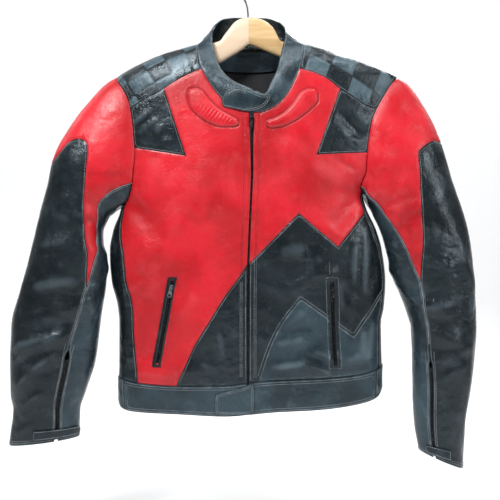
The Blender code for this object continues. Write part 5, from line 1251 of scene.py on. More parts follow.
def wall_faces(top, counts, base):
    """Quads that join the rims of the outer and the inner face."""
    edges = {(int(face[i]), int(face[(i + 1) % 3])) for face in top for i in range(3)}
    walls, start = [], 0
    for count in counts:
        for i in range(count):
            p, q = start + i, start + (i + 1) % count
            if (p, q) not in edges:
                p, q = q, p
            walls.append((q, p, base + p, base + q))
        start += count
    return walls


def keep_at_points(mesh, name, values):
    """Stores a number or a vector at each point of a mesh, for its material."""
    values = np.asarray(values, np.float32)
    kind, field = ("FLOAT_VECTOR", "vector") if values.ndim == 2 else ("FLOAT", "value")
    mesh.attributes.new(name, kind, "POINT").data.foreach_set(field, values.ravel())


def polygon_area(loop):
    after = np.roll(loop, -1, axis=0)
    return float((loop[:, 0] * after[:, 1] - loop[:, 1] * after[:, 0]).sum() / 2)


def link_object(name, points, faces, materials, indices=None, angle=45):
    mesh = bpy.data.meshes.new(name)
    mesh.from_pydata((np.asarray(points) * MM).tolist(), [], [tuple(map(int, f)) for f in faces])
    for item in materials:
        mesh.materials.append(item)
    if indices is not None:
        mesh.polygons.foreach_set("material_index", np.asarray(indices, np.int32))
    mesh.update()
    made = bpy.data.objects.new(name, mesh)
    bpy.context.scene.collection.objects.link(made)
    mesh.shade_smooth()
    mesh.set_sharp_from_angle(angle=math.radians(angle))
    return made


def cut_size(loops):
    """Width and length of the smallest rectangle round a flat outline, and the outline's area."""
    best = None
    for degrees in range(0, 90, 2):
        t = math.radians(degrees)
        turned = loops[0] @ np.array([[math.cos(t), -math.sin(t)], [math.sin(t), math.cos(t)]])
        width, length = turned.max(axis=0) - turned.min(axis=0)
        if best is None or width * length < best[0] * best[1]:
            best = (float(width), float(length))
    area = abs(polygon_area(loops[0])) - sum(abs(polygon_area(hole)) for hole in loops[1:])
    return best, area


def panel(name, chart, outline, look, outer=0.0, inner=-LEATHER, holes=(), mitres=(),
          roll=ROLL_DEPTH, pucker=0.6, fine=1.0, back="lining", step=FINE_STEP, lines=()):
    """A closed leather wall on a surface inside an outline, with fine creases and a rolled edge.

    lines are flat paths with a half width and a depth: channels that are pressed into the leather.
    """
    loops = [np.asarray(loop, float) for loop in (outline, *holes)]
    flats = [chart.flat(loop) for loop in loops]
    for i, flat in enumerate(flats):
        if (polygon_area(flat) > 0) != (i == 0):
            loops[i], flats[i] = loops[i][::-1], flat[::-1]
    rim = np.concatenate(loops)
    counts = [len(loop) for loop in loops]
    total = len(rim)
    points, groups, cuts = [], [], []
    for spacing, rings in ((step, ROLL_RINGS), (step * COARSER, ())):
        faces, extra, depth, place = fill(flats, spacing, rings, lines if rings else ())
        raw = np.concatenate([rim, chart.raw(extra)]) if len(extra) else rim
        skin, normals = chart.surface.at(raw)
        gap = mitre_rim(rim, normals, mitres)
        corners = skin[faces]
        facing = np.cross(corners[:, 1] - corners[:, 0], corners[:, 2] - corners[:, 0])
        sign = 1.0 if (facing * normals[faces[:, 0]]).sum() > 0 else -1.0
        skin[:total] += inset_directions(skin[:total], normals[:total], counts) * gap * sign
        cuts += [*flats, extra]
        lift = np.full(len(raw), float(inner))
        if rings:
            depth, place = (np.concatenate([np.zeros(total), part]) for part in (depth, place))
            lift = outer(raw, depth) if callable(outer) else outer + 0 * depth
            detail = chart.surface.detail(raw) * fine + pucker * puckers(name, depth, place)
            lift = lift + detail - roll * (1 - ease(depth / ROLL)) ** 1.5
            for path, wide, deep in lines:
                away, _ = path_distance([path], np.concatenate([*flats, extra]))
                channel = deep * np.exp(-((away / wide) ** 2))
                lift, detail = lift - channel, detail - channel
            lift = np.maximum(lift, inner + 0.4)
            rim_depth, relief = depth, detail
        points.append(skin + normals * lift[:, None])
        groups.append(faces if sign > 0 else faces[:, ::-1])
    base = len(points[0])
    walls = wall_faces(groups[0], counts, base)
    faces = [tuple(f) for f in groups[0]] + walls + [tuple(base + f[::-1]) for f in groups[1]]
    indices = [0] * (len(groups[0]) + len(walls)) + [1] * len(groups[1])
    made = link_object(name + "_cloth", np.concatenate(points), faces,
                       [LOOKS[look], LOOKS[look if back == "same" else back]], indices)
    rest = len(points[1])
    keep_at_points(made.data, "rim", np.concatenate([rim_depth, np.full(rest, FAR)]))
    keep_at_points(made.data, "relief", np.concatenate([relief, np.zeros(rest)]))
    keep_at_points(made.data, "cut", np.pad(np.concatenate(cuts), ((0, 0), (0, 1))))
    TREES[name] = BVHTree.FromPolygons(points[0].tolist(), [tuple(map(int, f)) for f in groups[0]])
    PANELS[name] = {"chart": chart, "flats": flats, "mesh": made.data}
    (width, length), area = cut_size(flats)
    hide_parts(name)
    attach(made, BODY)
    CLOTH.append((made, (width * MM, length * MM), area * MM * MM, "hung"))


def puckers(name, depth, place):
    """Small waves beside the rim, where the sewing pulls the leather together."""
    wave = np.sin(place / 1.9 + 2.2 * np.sin(place / 23)) * (0.5 + 0.5 * np.sin(place / 31 + len(name)))
    return wave * np.exp(-depth / 7) * (1 - np.exp(-depth / 1.8))


# ---------------------------------------------------------------- shared seams of the body
def zip_edge(drops, side):
    gap = smooth(FRONT_ZIP, 2, drops) / 2
    return smooth(FRONT_ZIP, 1, drops) + side * gap


def zip_run(side, low, high):
    """Front edge beside the zip between two drops."""
    drops = resample([(0, low), (0, high)])[:, 1]
    return beside_zip(drops, side)


def beside_zip(drops, side, shift=0.0):
    """Raw points beside the front zip, moved outward from the edge by `shift`."""
    return seen(np.stack([zip_edge(drops, side) + side * shift, drops], -1))


def neck_zip_turn(side):
    """Turn at which the neck seam reaches the front edge beside the zip."""
    turns = np.linspace(170, 180, 201)
    miss = np.abs(smooth(NECK[side][4:], 1, turns) - zip_edge(252.0, side))
    return float(turns[np.argmin(miss)])


def neck_turns(side):
    """Shared turns along one half of the neck seam."""
    return spaced((0, NECK_BACK_YOKE, 90, NECK_YOKE, neck_zip_turn(side)), NECK_STEP)


def neck_run(side, start, end):
    return neck(side * stretch(neck_turns(side), start, end))


def side_angle(side, drop, front=True):
    rows = SIDE_FRONT[side] if front else SIDE_BACK
    return angle_from_depth(smooth(rows, 1, drop), drop, side, front)


def band_edge(rows, angles):
    return np.stack([angles, smooth(rows, 1, half_turn(angles))], -1)


def band_drop(angle):
    return float(smooth(BAND_TOP, 1, angle))


def side_foot(side, front=True):
    """(angle, drop) where a side seam meets the waistband."""
    drop = 720.0
    for _ in range(12):
        drop = band_drop(float(side_angle(side, drop, front)))
    return float(side_angle(side, drop, front)), drop


def side_run(side, start, end, front=True):
    drops = resample([(0, start), (0, end)], ALONG_STEP)[:, 1]
    return np.stack([side_angle(side, drops, front), drops], -1)


def to_armhole(side, turn, run):
    """Bends the start of a side seam to the armhole point at a turn."""
    run = run.copy()
    run[0] = armhole(side, turn)
    return run


@functools.cache
def band_angles():
    """Shared angles along the waistband's edges, over two turns."""
    stops = {-180.0, 180.0, BAND_JOINT_LEFT, BAND_JOINT_RIGHT}
    for side in SIDES:
        for front in (True, False):
            stops.add(round(side_foot(side, front)[0], 6))
    for x in (DIAGONAL[-1][0], zip_x_at_band(-1), zip_x_at_band(1), FOOT_2[0]):
        stops.add(round(band_angle_at(x), 6))
    angles = spaced(sorted(stops), BAND_STEP)
    return np.concatenate([angles[:-1], angles + 360])


def zip_x_at_band(side):
    return float(zip_edge(np.array(722.0), side))


def band_angle_at(x):
    """Angle where the waistband's top edge is seen at x in front."""
    drop = 722.0
    for _ in range(12):
        angle = float(angle_from_x(x, drop))
        drop = band_drop(angle)
    return angle


def band_run(rows, start, end):
    return band_edge(rows, stretch(band_angles(), start, end, 1e-4))


def armhole_points(side, start, end):
    return armhole(side, armhole_run(side, start, end))


def sleeve_mitres(side):
    """Armhole spots on the torso and the sleeve's normals there."""
    turns = armhole_turns(side)
    skin = sleeve_skin(side)
    return armhole(side, turns), skin.normal(turns, 0 * turns)


def torso_mitres_for_sleeve(side):
    """Armhole spots on the sleeve and the torso's normals there."""
    turns = np.concatenate([armhole_turns(side) - 360, armhole_turns(side)])
    return level(turns, 0.0), TORSO_SKIN.at(armhole(side, turns))[1]


def all_neck_turns():
    return np.concatenate([-neck_turns(-1)[:0:-1], neck_turns(1)])


def collar_mitres():
    """Neck spots on the torso and the collar's normals there."""
    turns = all_neck_turns()
    return neck(turns), COLLAR_SKIN.normal(turns, 0 * turns)


# ---------------------------------------------------------------- stitches and piping
def even_points(path, pitch, start=0.0, end=0.0):
    """Points along a flat path at an even pitch, and the direction at each."""
    path = np.asarray(path, float)
    at = lengths_along(path)
    spots = np.arange(start, at[-1] - end, pitch)
    run = at_lengths(path, at, spots + 0.5) - at_lengths(path, at, spots - 0.5)
    return at_lengths(path, at, spots), unit(run)


def loop_inside(loop, offset):
    """A closed flat outline moved inward, for an outline that turns left."""
    moved = loop + offset * leftward(loop_runs(loop))
    distance, _ = rim_distance([loop], moved)
    moved = moved[distance > 0.9 * offset]
    return np.concatenate([moved, moved[:1]])


def seated(names, chart, flat):
    """Points of the panels' outer faces at flat places, and the normals there."""
    skin, normals = chart.surface.at(chart.raw(flat))
    found = []
    for point, normal in zip(skin, normals):
        above = Vector(point + RAY_LIFT * normal)
        rays = [TREES[name].ray_cast(above, Vector(-normal), RAY_REACH) for name in names]
        hits = [ray for ray in rays if ray[0] is not None]
        found.append(np.array(min(hits, key=lambda ray: ray[3])[0]) if hits else None)
    return found, normals


def sew(look, names, path, chart=None):
    """A row of stitches along a flat path, lying on the outer faces of the named panels."""
    chart = chart or PANELS[names[0]]["chart"]
    spots, runs = even_points(path, STITCH_PITCH, ROW_END, ROW_END)
    if not len(spots):
        return
    first, normals = seated(names, chart, spots - runs * STITCH / 2)
    last, _ = seated(names, chart, spots + runs * STITCH / 2)
    for a, b, normal in zip(first, last, normals):
        if a is not None and b is not None and np.linalg.norm(b - a) < 2 * STITCH:
            STITCHES[look].append((a, b, normal))


def sew_rim(look, name, offset=3.0, keep=None):
    """A row of stitches inside a panel's edge, all round or where `keep` allows."""
    chart = PANELS[name]["chart"]
    path = loop_inside(PANELS[name]["flats"][0], offset)
    if keep is None:
        sew(look, [name], path)
        return
    runs = [[]]
    for spot, good in zip(path, keep(chart.raw(path))):
        if good and runs[-1] and np.linalg.norm(spot - runs[-1][-1]) >= ROW_BREAK:
            runs.append([spot])
        elif good:
            runs[-1].append(spot)
        elif runs[-1]:
            runs.append([])
    for run in runs:
        if len(run) > 2:
            sew(look, [name], np.array(run))


def build_stitches():
    for look, rows in STITCHES.items():
        points, faces = stitch_mesh(rows)
        extra_piece("sewing_" + look, points, faces, look, angle=60)


def stitch_mesh(rows):
    points, faces = [], []
    for a, b, normal in rows:
        run = unit(b - a)
        side = unit(np.cross(normal, run))
        start = len(points)
        for share, scale, lift in ((0.0, 0.55, 0.0), (0.2, 1.0, 0.24), (0.8, 1.0, 0.24), (1.0, 0.55, 0.0)):
            middle = a + (b - a) * share + normal * lift
            points += [middle + side * 0.4 * scale, middle + normal * 0.34 * scale,
                       middle - side * 0.4 * scale, middle - normal * 0.3]
        faces += [face[::-1] for face in tube_faces(4, 4, start)]
    return np.array(points), faces


def tube_points(path, normals, radius, sides=10):
    """Rings of a round cord along 3-D points."""
    run = unit(np.gradient(path, axis=0))
    side = unit(np.cross(normals, run))
    up = np.cross(run, side)
    turns = np.linspace(0, 2 * math.pi, sides + 1)[:-1]
    return np.stack([path + radius * (side * math.cos(t) + up * math.sin(t)) for t in turns], axis=1)


def tube_faces(count, sides, base=0):
    faces = []
    for i in range(count - 1):
        for k in range(sides):
            p, q = base + i * sides + k, base + i * sides + (k + 1) % sides
            faces.append((p, q, q + sides, p + sides))
    faces.append(tuple(base + k for k in range(sides))[::-1])
    faces.append(tuple(base + (count - 1) * sides + k for k in range(sides)))
    return faces


def extra_piece(name, points, faces, look, angle=40):
    """A piece of the jacket that is no cloth panel, in the colour of leather far from a rim."""
    made = link_object(name, points, faces, [LOOKS[look]], angle=angle)
    keep_at_points(made.data, "rim", np.full(len(made.data.vertices), 9.0))
    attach(made, BODY)
    return made


def piping(name, path, radius, lift, chart):
    """A thin cord laid on a seam."""
    spots, _ = even_points(path, 2.5, 0.6, 0.6)
    raw = chart.raw(spots)
    skin, normals = chart.surface.at(raw)
    skin = skin + normals * (lift + chart.surface.detail(raw))[:, None]
    rings = tube_points(skin, normals, radius)
    extra_piece(name, rings.reshape(-1, 3), tube_faces(len(rings), rings.shape[1]), "piping")


# ---------------------------------------------------------------- zips
def strip(name, chart, path, section, look, fine=0.0, cloth=False):
    """Sweeps a section of (across, lift) rows along a path of flat chart points."""
    path = np.asarray(path, float)
    rings = []
    for across, lift in section:
        raw = chart.raw(beside(path, across))
        skin, normals = chart.surface.at(raw)
        rings.append(skin + normals * (lift + fine * chart.surface.detail(raw))[:, None])
    rings = np.stack(rings, axis=1)
    made = extra_piece(name + "_cloth" * cloth, rings.reshape(-1, 3), outward(rings), look, angle=35)
    if cloth:
        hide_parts(name)
        length = float(lengths_along(path)[-1])
        width = max(row[0] for row in section) - min(row[0] for row in section)
        CLOTH.append((made, (max(width, 10.5) * MM, length * MM), width * length * MM * MM, "hung"))


def teeth(name, chart, path, low, high, wide=1.0, pitch=1.35):
    """Interlocked zip teeth, each side reaching a little past the middle in turn."""
    spots, runs = even_points(path, pitch, 1.0, 1.0)
    side = leftward(runs)
    middle = spots + side * np.where(np.arange(len(spots)) % 2 == 0, 0.4, -0.4)[:, None]
    feet, tops, caps = [], [], []
    for along, across in ((-0.42, -wide), (0.42, -wide), (0.42, wide), (-0.42, wide)):
        skin, normal = chart.surface.at(chart.raw(middle + runs * along * pitch + side * across))
        feet.append(skin + normal * (low - 0.2))
        tops.append(skin + normal * (high - 0.4))
        caps.append(tops[-1] * 0.72 + normal * 0.5)
    centre = sum(tops) / 4 * 0.28
    points = np.stack([*feet, *tops, *(cap + centre for cap in caps)], axis=1)
    rings = points.reshape(len(spots), 3, 4, 3)
    faces = outward(rings[0])
    faces = [tuple(12 * i + v for v in face) for i in range(len(spots)) for face in faces]
    extra_piece(name, points.reshape(-1, 3), faces, "teeth", angle=30)


def edge_line(outline, inset):
    """Closed flat path inside an outline."""
    outline = np.asarray(outline, float)
    return loop_inside(outline if polygon_area(outline) > 0 else outline[::-1], inset)


def placket_line(side):
    """The line pressed between the two rows of stitches beside the front zip."""
    path = beside_zip(np.arange(256, 722, 3.0), side, PLACKET + 1.6)
    return torso_chart(0).flat(path), PRESS_WIDE, PRESS_DEEP


def pad_groove(side):
    """The channel pressed round a chest pad."""
    path = torso_chart(0).flat(pad_outline(side))
    path = path if polygon_area(path) > 0 else path[::-1]
    return beside(np.concatenate([path, path[:1]]), -1.0), GROOVE_WIDE, GROOVE_DEEP


def pad_outline(side):
    return closed_outline(PAD[side], 3)


def closed_outline(points, step):
    """Raw outline through points given as seen."""
    return seen(resample([*points, points[0]], step)[:-1])


def pad_height(raw, depth, label):
    """A flat-topped pad; the left one has thin ribs over its lower half."""
    height = 1.0 + (PAD_CROWN - 3.0) * ease(depth / 4.5) ** 0.8 + 0.8 * ease((depth - 3) / 10)
    x, drop = as_seen(raw).T
    if label == "left":
        along = (x + 20) * 0.8 + (drop - 270) * 0.6
        low = ease((drop - 236) / 12) * ease((depth - 2.0) / 3)
        height = height - 0.55 * low * (0.5 + 0.5 * np.cos(2 * math.pi * along / PAD_RIB)) ** 2
    return height


def collar_seams(chart):
    """Pressed seams that cross the collar at its sides."""
    rises = np.arange(1.5, COLLAR_RISE - 1, 1.5)
    return [(chart.flat(np.stack([turn + 0 * rises, rises], -1)), 1.1, 0.8) for turn in COLLAR_SEAMS]


def square_grid(chart, side):
    """Affine map from a yoke's flat coordinates to the numbering of its check squares."""
    spots, numbers = [], []
    for corners in SQUARES[side]:
        for x, drop, column, row in corners:
            spots.append((x, drop))
            numbers.append((column, row))
    flat = chart.flat(seen(spots))
    known = np.concatenate([flat, np.ones((len(flat), 1))], axis=1)
    return np.linalg.lstsq(known, np.array(numbers, float), rcond=None)[0]


def sunk_lines(grid, chart, raw):
    """Lift of a yoke: a narrow valley along each line between two squares."""
    flat = chart.flat(raw)
    place = np.concatenate([flat, np.ones((len(flat), 1))], axis=1) @ grid
    away = np.abs(place - np.round(place)).min(axis=1) * SQUARE
    return 0.45 * (1 - np.exp(-((away / 2.6) ** 2))) - 0.45


def mark_squares(name, grid):
    mesh = PANELS[name]["mesh"]
    flat = np.empty(len(mesh.vertices) * 3, np.float32)
    mesh.attributes["cut"].data.foreach_get("vector", flat)
    flat = flat.reshape(-1, 3)
    flat[:, 2] = 1
    place = np.pad(flat @ grid, ((0, 0), (0, 1)))
    keep_at_points(mesh, "square", place)


def build_body():
    sleeves = {side: sleeve_mitres(side) for side in SIDES}
    collar = collar_mitres()
    front = torso_chart(0)
    zip_angle = {side: band_angle_at(zip_x_at_band(side)) for side in SIDES}
    meet, bibs = {}, {}

    # chest inserts and check yokes
    for side, label in SIDES.items():
        meet[side] = beside_zip(np.array([CENTRE]), side)[0]
        top, foot, inner = INSERT_TOP[side], INSERT_FOOT[side], YOKE[side]
        k = inner.index(top)
        yoke_turn, insert_turn = YOKE_TURN[side], INSERT_TURN[side]
        ends = neck(np.array(side * NECK_YOKE)), armhole(side, yoke_turn), armhole(side, insert_turn)
        first = seen(resample([as_seen(ends[0]), *inner[:k + 1]]))
        second = seen(resample([top, *inner[k + 1:], as_seen(ends[1])]))
        inner_edge = seen(resample([top, foot]))
        lower_edge = seen(resample([foot, as_seen(ends[2])]))
        first[0], second[-1], lower_edge[-1] = ends
        bibs[side] = (neck_run(side, neck_zip_turn(side), NECK_YOKE), first, inner_edge, lower_edge,
                      armhole_points(side, insert_turn, SIDE_FRONT_TURN))
        outline = join(second, armhole_points(side, yoke_turn, insert_turn),
                       lower_edge[::-1], inner_edge[::-1])
        panel("insert_" + label, front, outline, "black", mitres=[sleeves[side]])
        build_yoke(side, label, (first, second), [sleeves[side], collar])

    # left front
    diagonal_angle = band_angle_at(DIAGONAL[-1][0])
    diagonal = seen(resample([as_seen(meet[-1]), *DIAGONAL]))
    diagonal[0] = meet[-1]
    diagonal[-1] = band_edge(BAND_TOP, np.array([diagonal_angle]))[0]
    side_left = side_seam(-1)
    outline = join(*bibs[-1], side_left, band_run(BAND_TOP, side_foot(-1)[0], diagonal_angle),
                   diagonal[::-1], zip_run_to(-1, meet[-1]))
    panel("front_left_red", front, outline, "red", holes=[pocket_slot(POCKET[-1])],
          mitres=[sleeves[-1], collar], lines=[placket_line(-1), pad_groove(-1)])
    outline = join(diagonal, band_run(BAND_TOP, diagonal_angle, zip_angle[-1]), zip_low(-1))
    panel("front_left_black", front, outline, "black", lines=[placket_line(-1)])

    # right front
    side_right = to_armhole(1, SIDE_FRONT_TURN, side_run(1, UNDERARM[1], END_1))
    side_middle = side_run(1, END_1, END_2)
    side_low = side_run(1, END_2, side_foot(1)[1])
    corners = (as_seen(meet[1]), PEAK_1, VALLEY_1, as_seen(side_right[-1]))
    zigzag = [seen(resample(line)) for line in zip(corners, corners[1:])]
    zigzag[0][0] = meet[1]
    zigzag[2][-1] = side_right[-1]
    outline = join(*bibs[1], side_right, *(run[::-1] for run in zigzag[::-1]), zip_run_to(1, meet[1]))
    panel("front_right_red", front, outline, "red", mitres=[sleeves[1], collar],
          lines=[placket_line(1), pad_groove(1)])
    foot_2 = band_angle_at(FOOT_2[0])
    rise = seen(resample([FOOT_2, *RISE_2, PEAK_2]))
    rise[0] = band_edge(BAND_TOP, np.array([foot_2]))[0]
    fall_above, fall_below = zigzag_round_slot(POCKET[1])
    climb = seen(resample([VALLEY_2, as_seen(side_middle[-1])]))
    climb[-1] = side_middle[-1]
    outline = join(*zigzag, side_middle, climb[::-1], fall_above[::-1], rise[::-1],
                   band_run(BAND_TOP, foot_2, zip_angle[1]), zip_low(1))
    panel("front_right_black", front, outline, "black", lines=[placket_line(1)])
    outline = join(rise, fall_below, climb, side_low, band_run(BAND_TOP, side_foot(1)[0], foot_2))
    panel("front_right_grey", front, outline, "slate")

    # sides and back
    fronts = {-1: side_left, 1: np.concatenate([side_right, side_middle[1:], side_low[1:]])}
    behind = {side: side_seam(side, False) for side in SIDES}
    ends = {side: side_foot(side, False)[0] for side in SIDES}
    for side, label in SIDES.items():
        outline = join(armhole_points(side, SIDE_FRONT_TURN, SIDE_BACK_TURN), behind[side],
                       band_run(BAND_TOP, ends[side], side_foot(side)[0]), fronts[side][::-1])
        panel("side_" + label, torso_chart(90 * side), outline, "black", mitres=[sleeves[side]])
    outline = join(
        neck_run(-1, NECK_BACK_YOKE, 0), neck_run(1, 0, NECK_BACK_YOKE),
        back_yoke_run(1)[::-1], armhole_points(1, BACK_YOKE_TURN, SIDE_BACK_TURN), behind[1],
        band_run(BAND_TOP, ends[1], 360 + ends[-1]), behind[-1][::-1],
        armhole_points(-1, SIDE_BACK_TURN, BACK_YOKE_TURN), back_yoke_run(-1),
    )
    panel("back", torso_chart(180), outline, "black", mitres=[sleeves[-1], sleeves[1], collar])


def build_yoke(side, label, front, mitres):
    """A check yoke, from its two front seams over the shoulder to its seam behind."""
    outline = join(*front, armhole_points(side, YOKE_TURN[side], BACK_YOKE_TURN - 360),
                   back_yoke_run(side), neck_run(side, NECK_BACK_YOKE, NECK_YOKE))
    chart = RidgeChart(side)
    grid = square_grid(chart, side)
    panel("yoke_" + label, chart, outline, "check", mitres=mitres, step=2.6,
          outer=lambda raw, depth: sunk_lines(grid, chart, raw))
    mark_squares("yoke_" + label, grid)


def side_seam(side, front=True):
    """A whole side seam, from the armhole to the waistband."""
    run = side_run(side, UNDERARM[side], side_foot(side, front)[1], front)
    return to_armhole(side, SIDE_FRONT_TURN if front else SIDE_BACK_TURN, run)


def back_yoke_run(side):
    """From the armhole to the neck seam, behind the ridge."""
    start = armhole(side, BACK_YOKE_TURN)
    end = neck(np.array(side * NECK_BACK_YOKE))
    first, last = as_seen(start), as_seen(end)
    middle = side * 150.0
    ridge = np.interp(150, smooth(TORSO, 1 if side < 0 else 2, np.linspace(112, 180, 60)),
                      np.linspace(112, 180, 60))
    run = seen(resample([first, (middle, ridge + YOKE_BACK_DROP), last]), False)
    run[0], run[-1] = start, end
    return run


def zip_run_to(side, foot):
    """Front edge from the colour seams' meeting point up to the neck seam."""
    end = neck(np.array(side * neck_zip_turn(side)))
    run = zip_run(side, CENTRE, as_seen(end)[1])
    run[0] = foot
    run[-1] = end
    return run


def zip_low(side):
    """Front edge from the waistband up to the colour seams' meeting point."""
    angle = band_angle_at(zip_x_at_band(side))
    drop = band_drop(angle)
    run = zip_run(side, drop, CENTRE)
    run[0] = (angle, drop)
    return run


def pocket_slot(pocket):
    """Outline of the slot that a pocket zip lies in, clockwise as seen."""
    (x0, d0), (x1, d1), width = pocket
    half = width / 2
    left = resample([(x0 - half, d0), (x1 - half, d1)])
    right = resample([(x1 + half, d1), (x0 + half, d0)])
    return seen(np.concatenate([left, right]))


def crossing(p, q, r, s):
    """Where the lines p-q and r-s meet."""
    p, q, r, s = (np.array(v, float) for v in (p, q, r, s))
    share = np.cross(r - p, s - r) / np.cross(q - p, s - r)
    return tuple(p + (q - p) * share)


def zigzag_round_slot(pocket):
    """The falling zigzag edge, which the right pocket's slot crosses.

    Gives the edge for the panel above it and for the panel below it, each round its own part of
    the slot, both from the peak to the valley.
    """
    (x0, d0), (x1, d1), width = pocket
    half = width / 2
    corners = [(x0 - half, d0), (x1 - half, d1), (x1 + half, d1), (x0 + half, d0)]
    near = crossing(PEAK_2, VALLEY_2, corners[0], corners[1])
    far = crossing(PEAK_2, VALLEY_2, corners[3], corners[2])
    first, last = resample([PEAK_2, near]), resample([far, VALLEY_2])
    sides = [[near, corners[0], corners[3], far], [near, corners[1], corners[2], far]]
    edges = []
    for a, b, c, d in sides:
        run = [first, resample([a, b])[1:], resample([b, c])[1:], resample([c, d])[1:], last[1:]]
        edges.append(seen(np.concatenate(run)))
    return edges


def build_sleeve(side, label):
    skin = sleeve_skin(side)
    length = sleeve_length(side)
    zip_top = CUFF_ZIP_TOP[side]
    cap, under = resample(CAP[side]), resample(UNDER[side])
    forearm = forearm_line(side)
    back_cap, back_under, back_forearm = (run * (-1, 1) for run in (cap, under, forearm))
    spots = [torso_mitres_for_sleeve(side)]
    meet = float(under[0][0])
    cuff = float(forearm[-1][0])

    outline = join(level(armhole_run(side, -meet, meet), 0.0), under, cap, back_cap[::-1], back_under[::-1])
    panel(f"sleeve_{label}_red", TubeChart(skin, 0), outline, "red", mitres=spots)

    def opened(shift):
        return forearm + np.outer(shift * ease((forearm[:, 1] - zip_top) / 8), (1, 0))

    ring = level(np.linspace(cuff - CUFF_ZIP_OPEN, -cuff, 49), length)
    outline = join(cap[::-1], opened(-CUFF_ZIP_OPEN), ring, back_forearm[::-1], back_cap)
    panel(f"sleeve_{label}_outer", TubeChart(skin, 0), outline, "black")
    ring = level(np.linspace(cuff + CUFF_ZIP_OPEN, 360 - cuff, 37), length)
    outline = join(level(armhole_run(side, meet, 360 - meet), 0.0), back_under + (360, 0),
                   back_forearm + (360, 0), ring[::-1], opened(CUFF_ZIP_OPEN)[::-1], under[::-1])
    panel(f"sleeve_{label}_under", TubeChart(skin, 180), outline, "slate", mitres=spots)

    chart = TubeChart(skin, 90)
    line = forearm[forearm[:, 1] > zip_top + 12]
    line[-1, 1] -= 3
    build_zip(f"cuff_zip_{label}", chart, chart.flat(line))
    cuff_strap(side, label, chart, length)


def forearm_line(side, step=SEAM_STEP):
    """The forearm seam in front, down to the cuff's edge."""
    rows = FOREARM[side]
    return resample([*rows[:-1], (rows[-1][0], sleeve_length(side))], step)


def build_zip(name, chart, path, face=TAPE_LIFT):
    """Tape and teeth of a zip along a flat path."""
    section = [(across, lift) for lift, order in ((face - 1.0, 1), (face, -1))
               for across in (-TAPE, 0, TAPE)[::order]]
    strip(name, chart, path, section, "tape", cloth=True)
    teeth(name + "_teeth", chart, path, face, CHAIN_LIFT)


def cuff_strap(side, label, chart, length):
    """A short leather strap across the foot of the cuff zip, with one round end."""
    low, high = length - 24, length - 6
    first, last = chart.flat(np.array([[turn, low] for turn in CUFF_STRAP[side]], float))[:, 0]
    middle, radius = (low + high) / 2, (high - low) / 2
    arc = [(last + radius * math.sin(t), middle - radius * math.cos(t))
           for t in np.linspace(0, math.pi, 17)]
    top = resample([(first, low), (last, low)], 2.5)
    foot = resample([(last, high), (first, high)], 2.5)
    outline = np.concatenate([top[:-1], arc, foot[1:]])
    panel(f"cuff_strap_{label}", chart, chart.raw(outline), "black", outer=3.2, inner=1.0,
          step=3.0, back="same", roll=0.5, pucker=0.2)


def build_collar():
    chart = TubeChart(COLLAR_SKIN, 0)
    turns = all_neck_turns()
    _, seam_normals = TORSO_SKIN.at(neck(turns))
    low, high = level(turns, 0.0), level(turns, COLLAR_RISE)
    end_left = resample([(turns[0], COLLAR_RISE), (turns[0], 0)], 3)
    end_right = resample([(turns[-1], 0), (turns[-1], COLLAR_RISE)], 3)
    outline = join(low, end_right, high[::-1], end_left)
    panel("collar_band", chart, outline, "slate", inner=-DOUBLE, step=4.0, back="black",
          mitres=[(low, seam_normals)], lines=collar_seams(chart))
    chart = SheetChart(Surface(collar_tab_base, None, tab_fine, -1.0, None))
    outline = resample([*COLLAR_TAB, COLLAR_TAB[0]], 2.5)[:-1]
    panel("collar_tab", chart, outline, "slate", outer=2.7, inner=0.6, step=3.0, back="same",
          pucker=0.25, roll=1.0, lines=[(edge_line(outline, 3.9), 0.9, 0.5)])


def build_inside():
    """Facing, hanging loop and the lining that shows through the neck."""
    chart = torso_chart(180)
    lift = -LEATHER - 2.4
    top = resample([(-60, 127.5), (0, 128), (61, 127.5)], 4)
    foot = resample([(61, 127.5), (64, 139), (65, 149), (57, 158), (30, 163), (0, 164), (-30, 163),
                     (-57, 158), (-64, 149), (-62, 139), (-60, 127.5)], 4)
    outline = seen(np.concatenate([top[:-1], foot[:-1]]), False)
    panel("neck_facing", chart, outline, "slate", outer=lift, inner=lift - 1.4,
          fine=0.15, roll=0.2, pucker=0.15, back="same", step=4.0)
    low = resample([(68, 154), (60, 162), (30, 167), (0, 168), (-30, 167), (-60, 162), (-68, 154)], 5)
    rest = resample([(-68, 154), (-84, 176), (-88, 215), (-76, 270), (0, 278), (76, 270), (88, 215),
                     (84, 176), (68, 154)], 5)
    outline = seen(np.concatenate([low[:-1], rest[:-1]]), False)
    panel("back_lining", chart, outline, "lining", outer=lift + 0.7, inner=lift - 0.5,
          fine=0.1, roll=0.1, pucker=0.1)
    outline = seen(resample([(-20, 130), (22, 130)], 2), False)
    outline = np.concatenate([outline, seen(resample([(22, 137), (-20, 137)], 2), False)])
    panel("hang_loop", chart, outline, "black", outer=lift - 1.9, inner=lift - 3.3,
          fine=0.0, roll=0.2, pucker=0.0, back="same", step=2.0)


def build_pads():
    for side, label in SIDES.items():
        panel("chest_pad_" + label, torso_chart(0), pad_outline(side), "red", inner=0.4, step=1.8,
              fine=0.5, roll=0.0, pucker=0.1, outer=lambda raw, depth: pad_height(raw, depth, label))


